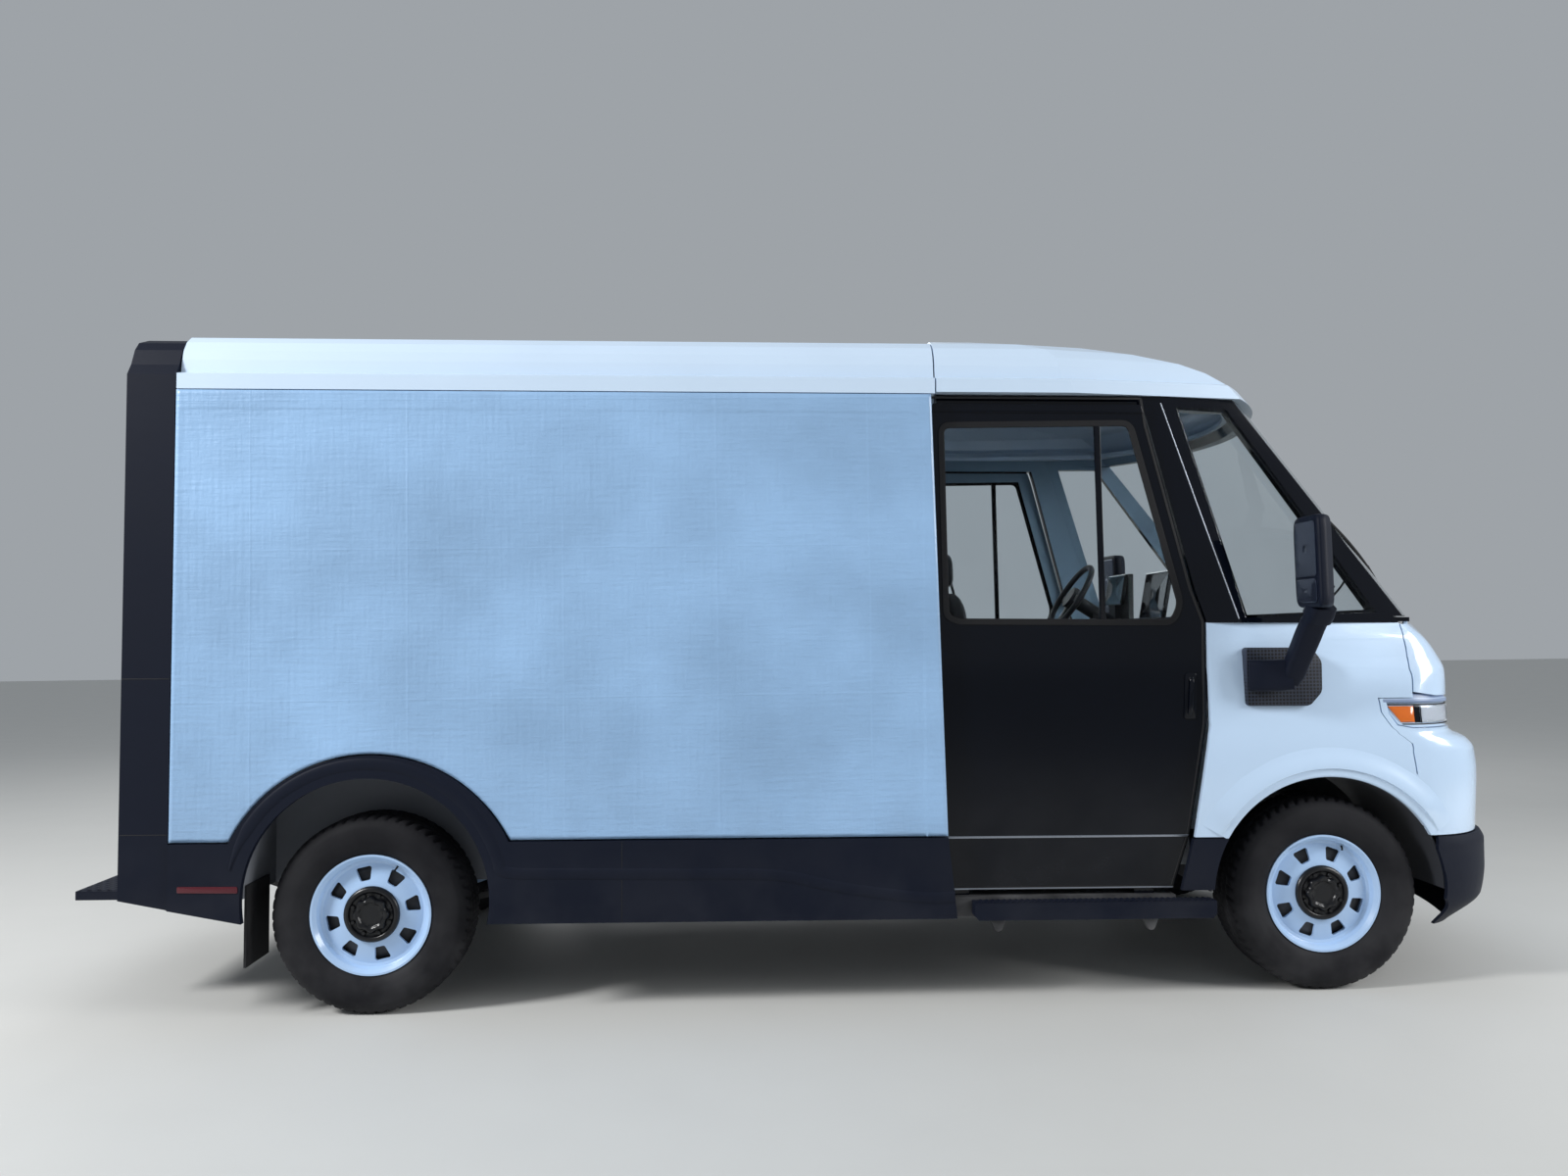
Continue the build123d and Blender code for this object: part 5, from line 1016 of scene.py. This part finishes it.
# ------------------------------------------------------------ cladding, reflectors, steps, rear end
CLADDING_FACE = HALF_WIDTH + 10
CREASE_ARC = (REAR_WHEEL[0], REAR_WHEEL[1] + 68.0, 541)      # centre and radius over the rear wheel
CREASE_AHEAD = ((-1412, 556), (-1330, 546), (-1100, 543), (-700, 537), (-336, 530), (-46, 474), (245, 436),
                (390, 434))
SIDE_REFLECTOR = rounded([(-2672, 484), (-2439, 481), (-2439, 507), (-2672, 509)], 6)
STEP_BRACKET = ((-34, 352), (34, 352), (14, 300), (-8, 300))
SLAT_Z, SLAT_PITCH = (706, 2414), 114


def make_cladding_details():
    """On each side: the crease that runs round the wheel and ahead along the cladding, starting thin; a dark
    red reflector; and the moulding's joints, one upright and two across the rear post."""
    cx, cz, reach = CREASE_ARC
    a = np.radians(np.linspace(166, 14, 84))
    arc = np.stack([cx + reach * np.cos(a), cz + reach * np.sin(a)], 1)
    line = np.concatenate([arc[:-2], smooth_path(np.concatenate([arc[-2:-1], CREASE_AHEAD]), 60)])
    width = np.minimum(26, 4 + 2.2 * np.arange(len(line)))
    face, post = CLADDING_FACE, HALF_WIDTH
    upright = box_outline(-942, 352, -940, 671, 0.5)
    across = [box_outline(-2902, z - 1.5, -2718, z + 1.5, 0.5) for z in (1320, 709)]
    for name, side in SIDES.items():
        path = np.stack([line[:, 0], np.full(len(line), side * (face - 3.0)), line[:, 1]], -1)
        make_piece(f"cladding_crease_{name}", [swept(path, width, 7.0, 2.0, 24)], LOOKS["cladding_black"], "body",
                   sharp=80)
        make_piece(f"side_reflector_{name}", [slab(SIDE_REFLECTOR, side, face - 1, face + 3, 2)], REFLECTOR,
                   "body")
        joints = [slab(upright, side, face - 2, face + 0.6, 0.3)]
        joints += [slab(joint, side, post - 2, post + 0.6, 0.3) for joint in across]
        make_piece(f"moulding_joints_{name}", joints, SEAM_BLACK, "body")


def tread_plate(name, x_span, y_span, z, pitch):
    """A step's anti-slip top: rows of bars raised by 3 mm, where soft steps of a sine over x and of a sine
    over y meet, and every other row is half a pitch along."""
    x = np.linspace(*x_span, int((x_span[1] - x_span[0]) / pitch * 8))[:, None]
    y = np.linspace(*y_span, int((y_span[1] - y_span[0]) / pitch * 5))[None, :]
    bar = soft_step(np.sin(x / pitch * 2 * pi + np.where(np.sin(y / pitch * pi) > 0, 0, pi)), 0.1, 0.6)
    bar = bar * soft_step(np.abs(np.sin(y / pitch * pi)), 0.2, 0.4)
    grid = np.stack([x + 0 * y, y + 0 * x, z + 0.4 + 3.0 * bar], -1)
    make_piece(name, [(grid, False, False, False)], LOOKS["cladding_black"], "body",
               closed=False, outward=(0, 0, 1), thick=1.5, sharp=50)


def make_steps():
    tread_plate("rear_step_tread", (-3190, -2915), (-770, 770), 440, 40)
    for name, side in SIDES.items():
        tread_plate(f"side_step_tread_{name}", (480, 1430), tuple(sorted((side * 1012, side * 1072))), 418, 24)
        feet = [slab(rounded([(x + along, z) for along, z in STEP_BRACKET], 10), side, 1020, 1056, 3)
                for x in (560, 1180)]
        make_piece(f"step_brackets_{name}", feet, LOOKS["chassis_black"], "body")


def rear_slats():
    """Roll-up door: slats stacked up Z, each bowed 6 mm outwards as a flattened half sine of its height, with
    a narrow groove where two meet."""
    z = np.linspace(*SLAT_Z, 360)[:, None]
    y = np.linspace(-856, 856, 12)[None, :]
    place = (z - SLAT_Z[0]) / SLAT_PITCH % 1
    x = -2875 - 6.0 * np.abs(np.sin(place * pi)) ** 0.35 + 0 * y
    return np.stack([x, y + 0 * z, z + 0 * y], -1), False, False, False


def make_rear():
    """The roll-up door's slats and pull, three red lenses a side, and a blank plate holder."""
    make_piece("rear_slats", [rear_slats()], LOOKS["rear_door_grey"], "body", closed=False,
               outward=(-1, 0, 0), sharp=50)
    grip = smooth_path([(-2882, -150, 758), (-2900, -140, 760), (-2904, 0, 762), (-2900, 140, 760),
                        (-2882, 150, 758)], 40)
    make_piece("rear_handle", [swept(grip, 8, 7, 2.5, 16, up=(0, 0, 1))], HUB_BLACK, "body")
    lenses = [stacked(box_outline(910, z_low, 986, z_high, 12), ((0, -2), (0, 5), (3, 9), (10, 11), (26, 12)),
                      lambda u, v, depth: (-2912 - depth, side * u, v))
              for side in SIDES.values() for z_low, z_high in ((906, 1110), (1118, 1322), (1330, 1554))]
    make_piece("tail_lenses", lenses, LOOKS["lamp_red"], "body")
    plate = stacked(box_outline(-160, 560, 160, 670, 10), ((0, -1), (0, 4), (1, 5), (6, 5)),
                    lambda u, v, depth: (-2905 - depth, u, v))
    make_piece("plate_holder", [plate], LOOKS["rear_door_grey"], "body")


# ------------------------------------------------------------ windshield wipers, cab
GLASS_LEAN = ((1540, 2660.0), (2476, 1921.0))     # height and x of the glass's middle at its foot and its top
GLASS_DROP, GLASS_HALF = 309.85, 900.0            # how far the glass stands back, at this far from the middle
WIPERS = ((430, -330, 1830), (-330, -840, 1960))  # y of the foot, y and z of the blade's tip
SCREENS = (("driver", (300, 1640, 580, 1800), 1540), ("middle", (-130, 1560, 200, 1800), 1600))


def glass_point(y, z, out=0.0):
    """x on the windshield: its middle leans back between two heights, and it is a circular arc in plan."""
    (z_low, x_low), (z_high, x_high) = GLASS_LEAN
    tip = x_low + (z - z_low) / (z_high - z_low) * (x_high - x_low)
    radius = (GLASS_DROP**2 + GLASS_HALF**2) / (2 * GLASS_DROP)
    return tip - radius + np.sqrt(radius**2 - y**2) + out


def make_wipers():
    """Two wipers: an arm 14 mm and a blade 7 mm off the glass, both laid along it."""
    sheets = []
    for foot, tip_y, tip_z in WIPERS:
        arm_y, arm_z = np.linspace(foot, (foot + tip_y) / 2, 5), np.linspace(1572, (1600 + tip_z) / 2 + 10, 5)
        blade_y, blade_z = np.linspace(foot - 60, tip_y - 60, 9), np.linspace(1600, tip_z, 9)
        for y, z, out, count, (wide, deep) in ((arm_y, arm_z, 14, 16, (9, 6)), (blade_y, blade_z, 7, 30, (6, 5))):
            path = np.stack([glass_point(y, z, out), y, z], -1)
            sheets.append(swept(smooth_path(path, count), wide, deep, 3, 12))
    make_piece("wipers", sheets, LOOKS["rubber_black"], "body")


def make_cab_screens():
    """Two dark screens with soft bezels on the dash: rounded slabs whose tops stand ahead of their feet."""
    levels = ((4, 0), (0, 4), (0, 18), (3, 21), (9, 22), (12, 20))
    for name, corners, x in SCREENS:
        sheet = stacked(box_outline(*corners, 16), levels,
                        lambda u, v, depth: (x + (v - corners[1]) * 0.18 - depth, u, v))
        make_piece(f"{name}_screen", [sheet], SCREEN, "body")


# ------------------------------------------------------------ padded seats
SEAT_Y = 440                                      # how far each seat's middle is from the van's
PUFF_PRESSURE, PUFF_FRAMES, PUFF_VOXEL = 4.0, 20, 0.006


def pad_form(low, high, power, crown, lean=0.0, bolster=0.0, rows=36, around=72):
    """A cushion: superellipse sections (x, y) stacked up Z, drawn in at top and bottom, with side bolsters
    raised by bolster mm. One that leans goes back by lean mm; one that doesn't is crowned by crown mm."""
    s = np.sin(np.linspace(-pi / 2, pi / 2, rows))[:, None]
    scale = (1 - np.abs(s) ** power) ** (1 / power)
    half = (np.asarray(high, float) - low) / 2
    mid = (np.asarray(high, float) + low) / 2
    u, v = superellipse(np.linspace(0, 2 * pi, around, endpoint=False)[None, :], power)
    x = mid[0] + half[0] * u * scale - lean * (s + 1) / 2
    y = mid[1] + half[1] * v * scale
    z = mid[2] + half[2] * s + 0 * u
    edge = np.abs(v * scale) ** 3
    if lean:
        x = x + bolster * edge * (u > 0)
    else:
        z = z + (bolster * edge + crown * (1 - (v * scale) ** 2) * (1 - (u * scale) ** 2)) * (s > 0)
    return np.stack([x, y, z], -1)


def puff(piece, cap):
    """Cloth with inner pressure, gravity off, for 20 frames; no point may end more than cap mm from its start."""
    voxel = piece.modifiers.new("voxel", "REMESH")
    voxel.mode, voxel.voxel_size = "VOXEL", PUFF_VOXEL
    graph = bpy.context.evaluated_depsgraph_get()
    solid = bpy.data.meshes.new_from_object(piece.evaluated_get(graph))
    piece.modifiers.clear()
    look = piece.data.materials[0]
    piece.data = solid
    start = np.empty(len(solid.vertices) * 3)
    solid.vertices.foreach_get("co", start)
    cloth = piece.modifiers.new("cloth", "CLOTH")
    cloth.settings.use_pressure = True
    cloth.settings.uniform_pressure_force = PUFF_PRESSURE
    cloth.settings.effector_weights.gravity = 0
    cloth.settings.quality = 5
    scene = bpy.context.scene
    for number in range(1, PUFF_FRAMES + 1):
        scene.frame_set(number)
    done = bpy.data.meshes.new_from_object(piece.evaluated_get(bpy.context.evaluated_depsgraph_get()))
    end = np.empty(len(done.vertices) * 3)
    done.vertices.foreach_get("co", end)
    move = (end - start).reshape(-1, 3)
    far = np.linalg.norm(move, axis=1)[:, None]
    move *= np.minimum(1, cap / 1000 / np.maximum(far, 1e-9))
    done.vertices.foreach_set("co", (start.reshape(-1, 3) + move).ravel())
    piece.modifiers.clear()
    piece.data = done
    done.materials.clear()
    done.materials.append(look)
    done.polygons.foreach_set("use_smooth", np.ones(len(done.polygons), bool))
    scene.frame_set(1)


def sew(piece, lines, depth, width):
    """Sewn channels: points near a line (axis, place in metres) are pressed in by depth mm times a bell curve
    of width mm."""
    mesh = piece.data
    points = np.empty(len(mesh.vertices) * 3)
    normals = np.empty(len(mesh.vertices) * 3)
    mesh.vertices.foreach_get("co", points)
    mesh.vertices.foreach_get("normal", normals)
    points, normals = points.reshape(-1, 3), normals.reshape(-1, 3)
    for axis, place in lines:
        bell = np.exp(-((points[:, axis] - place) / (width / 1000)) ** 2)
        points -= normals * (bell * depth / 1000)[:, None]
    mesh.vertices.foreach_set("co", points.ravel())
    mesh.update()


SIDE_CHANNELS = [(1, -0.58), (1, -0.30)]          # axis and place in metres
PADS = {  # form, most that a point may puff in mm, sewn channels
    "cushion": (pad_form((486, -675, 1016), (974, -205, 1122), 4.0, 6, 0, 8), 8.4,
                SIDE_CHANNELS + [(0, row((640, 0, 1100))[0]), (0, row((800, 0, 1100))[0])]),
    "back": (pad_form((508, -668, 1138), (580, -212, 1680), 4.5, 0, 76, 10), 7.2,
             SIDE_CHANNELS + [(2, row((540, 0, 1320))[2]), (2, row((520, 0, 1500))[2])]),
    "headrest": (pad_form((430, -562, 1696), (488, -318, 1854), 4.0, 0, 8, 0), 4.8, [])}


def make_seats():
    """Two seats: a cushion, a back and a headrest each, puffed once and moved across for the other seat, on
    a box base, with two posts to the headrest."""
    for part, (form, cap, lines) in PADS.items():
        piece = make_piece(f"seat_{part}_right", [(form, False, True, True)], LOOKS["seat_cloth"], "body",
                           sharp=90)
        puff(piece, cap)
        sew(piece, lines, 5.0, 9.0)
        mesh = piece.data.copy()
        mesh.transform(Matrix.Translation((0, 2 * SEAT_Y / 1000, 0)))
        twin = place_piece(f"seat_{part}_left", mesh, LOOKS["seat_cloth"], "body")
        for one in (piece, twin):
            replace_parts(one, "seats")
    box = rounded([(544, 706), (896, 706), (884, 1004), (556, 1004)], 20)
    sheets = []
    for side in SIDES.values():
        middle = side * SEAT_Y
        sheets.append(slab(box, 1, middle - 176, middle + 176, 12))
        sheets += [swept([(500, middle + y, 1640), (474, middle + y, 1740)], 6, 6, 2, 12) for y in (-70, 70)]
    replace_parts(make_piece("seat_bases", sheets, LOOKS["interior_dark"], "body"), "seats")


# ------------------------------------------------------------ the kept nodes, and the room
def dress_nodes():
    """Every node that stays showing gets the finish of its material slot."""
    slots = {part["node"]: part["material_slot"] for part in frame["record"]["subparts"]}
    special = {"wheelhouses": TUB_GREY, "headlamps": LOOKS["body_white"], "cab_frame": TWO_TONE,
               "door_right": TWO_TONE, "door_left": TWO_TONE}
    for name, node in frame["nodes"].items():
        look = special.get(name, LOOKS[slots[name]])
        node.data.materials.clear()
        node.data.materials.append(look)


def light_room():
    """A plain pale floor and an even pale room that the glass and paint mirror."""
    far = FLOOR_REACH
    mesh = bpy.data.meshes.new("floor")
    mesh.from_pydata([(-far, -far, 0), (far, -far, 0), (far, far, 0), (-far, far, 0)], [], [(0, 1, 2, 3)])
    floor = bpy.data.objects.new("floor", mesh)
    bpy.context.scene.collection.objects.link(floor)
    mesh.materials.append(finish("floor_paint", srgb(205, 205, 202), (0.5, 0.7), grain=(60, 0.0005), cloud=0.01))
    scene = bpy.context.scene
    scene.view_settings.view_transform = "Standard"
    world = bpy.data.worlds.new("room")
    scene.world = world
    world.use_nodes = True
    background = world.node_tree.nodes["Background"]
    background.inputs["Color"].default_value = (*srgb(196, 202, 208), 1)
    background.inputs["Strength"].default_value = ROOM_STRENGTH


put_camera()
put_lamps()
light_room()
dress_nodes()
make_side_skins()
for wheel in ("front_right", "front_left", "rear_right", "rear_left"):
    make_tyre(wheel)
    make_hub(wheel)
make_mirrors()
make_door_trim()
make_pillar_highlights()
make_nose()
make_arch_lips()
make_lamps()
make_cladding_details()
make_steps()
make_rear()
make_wipers()
make_cab_screens()
make_seats()
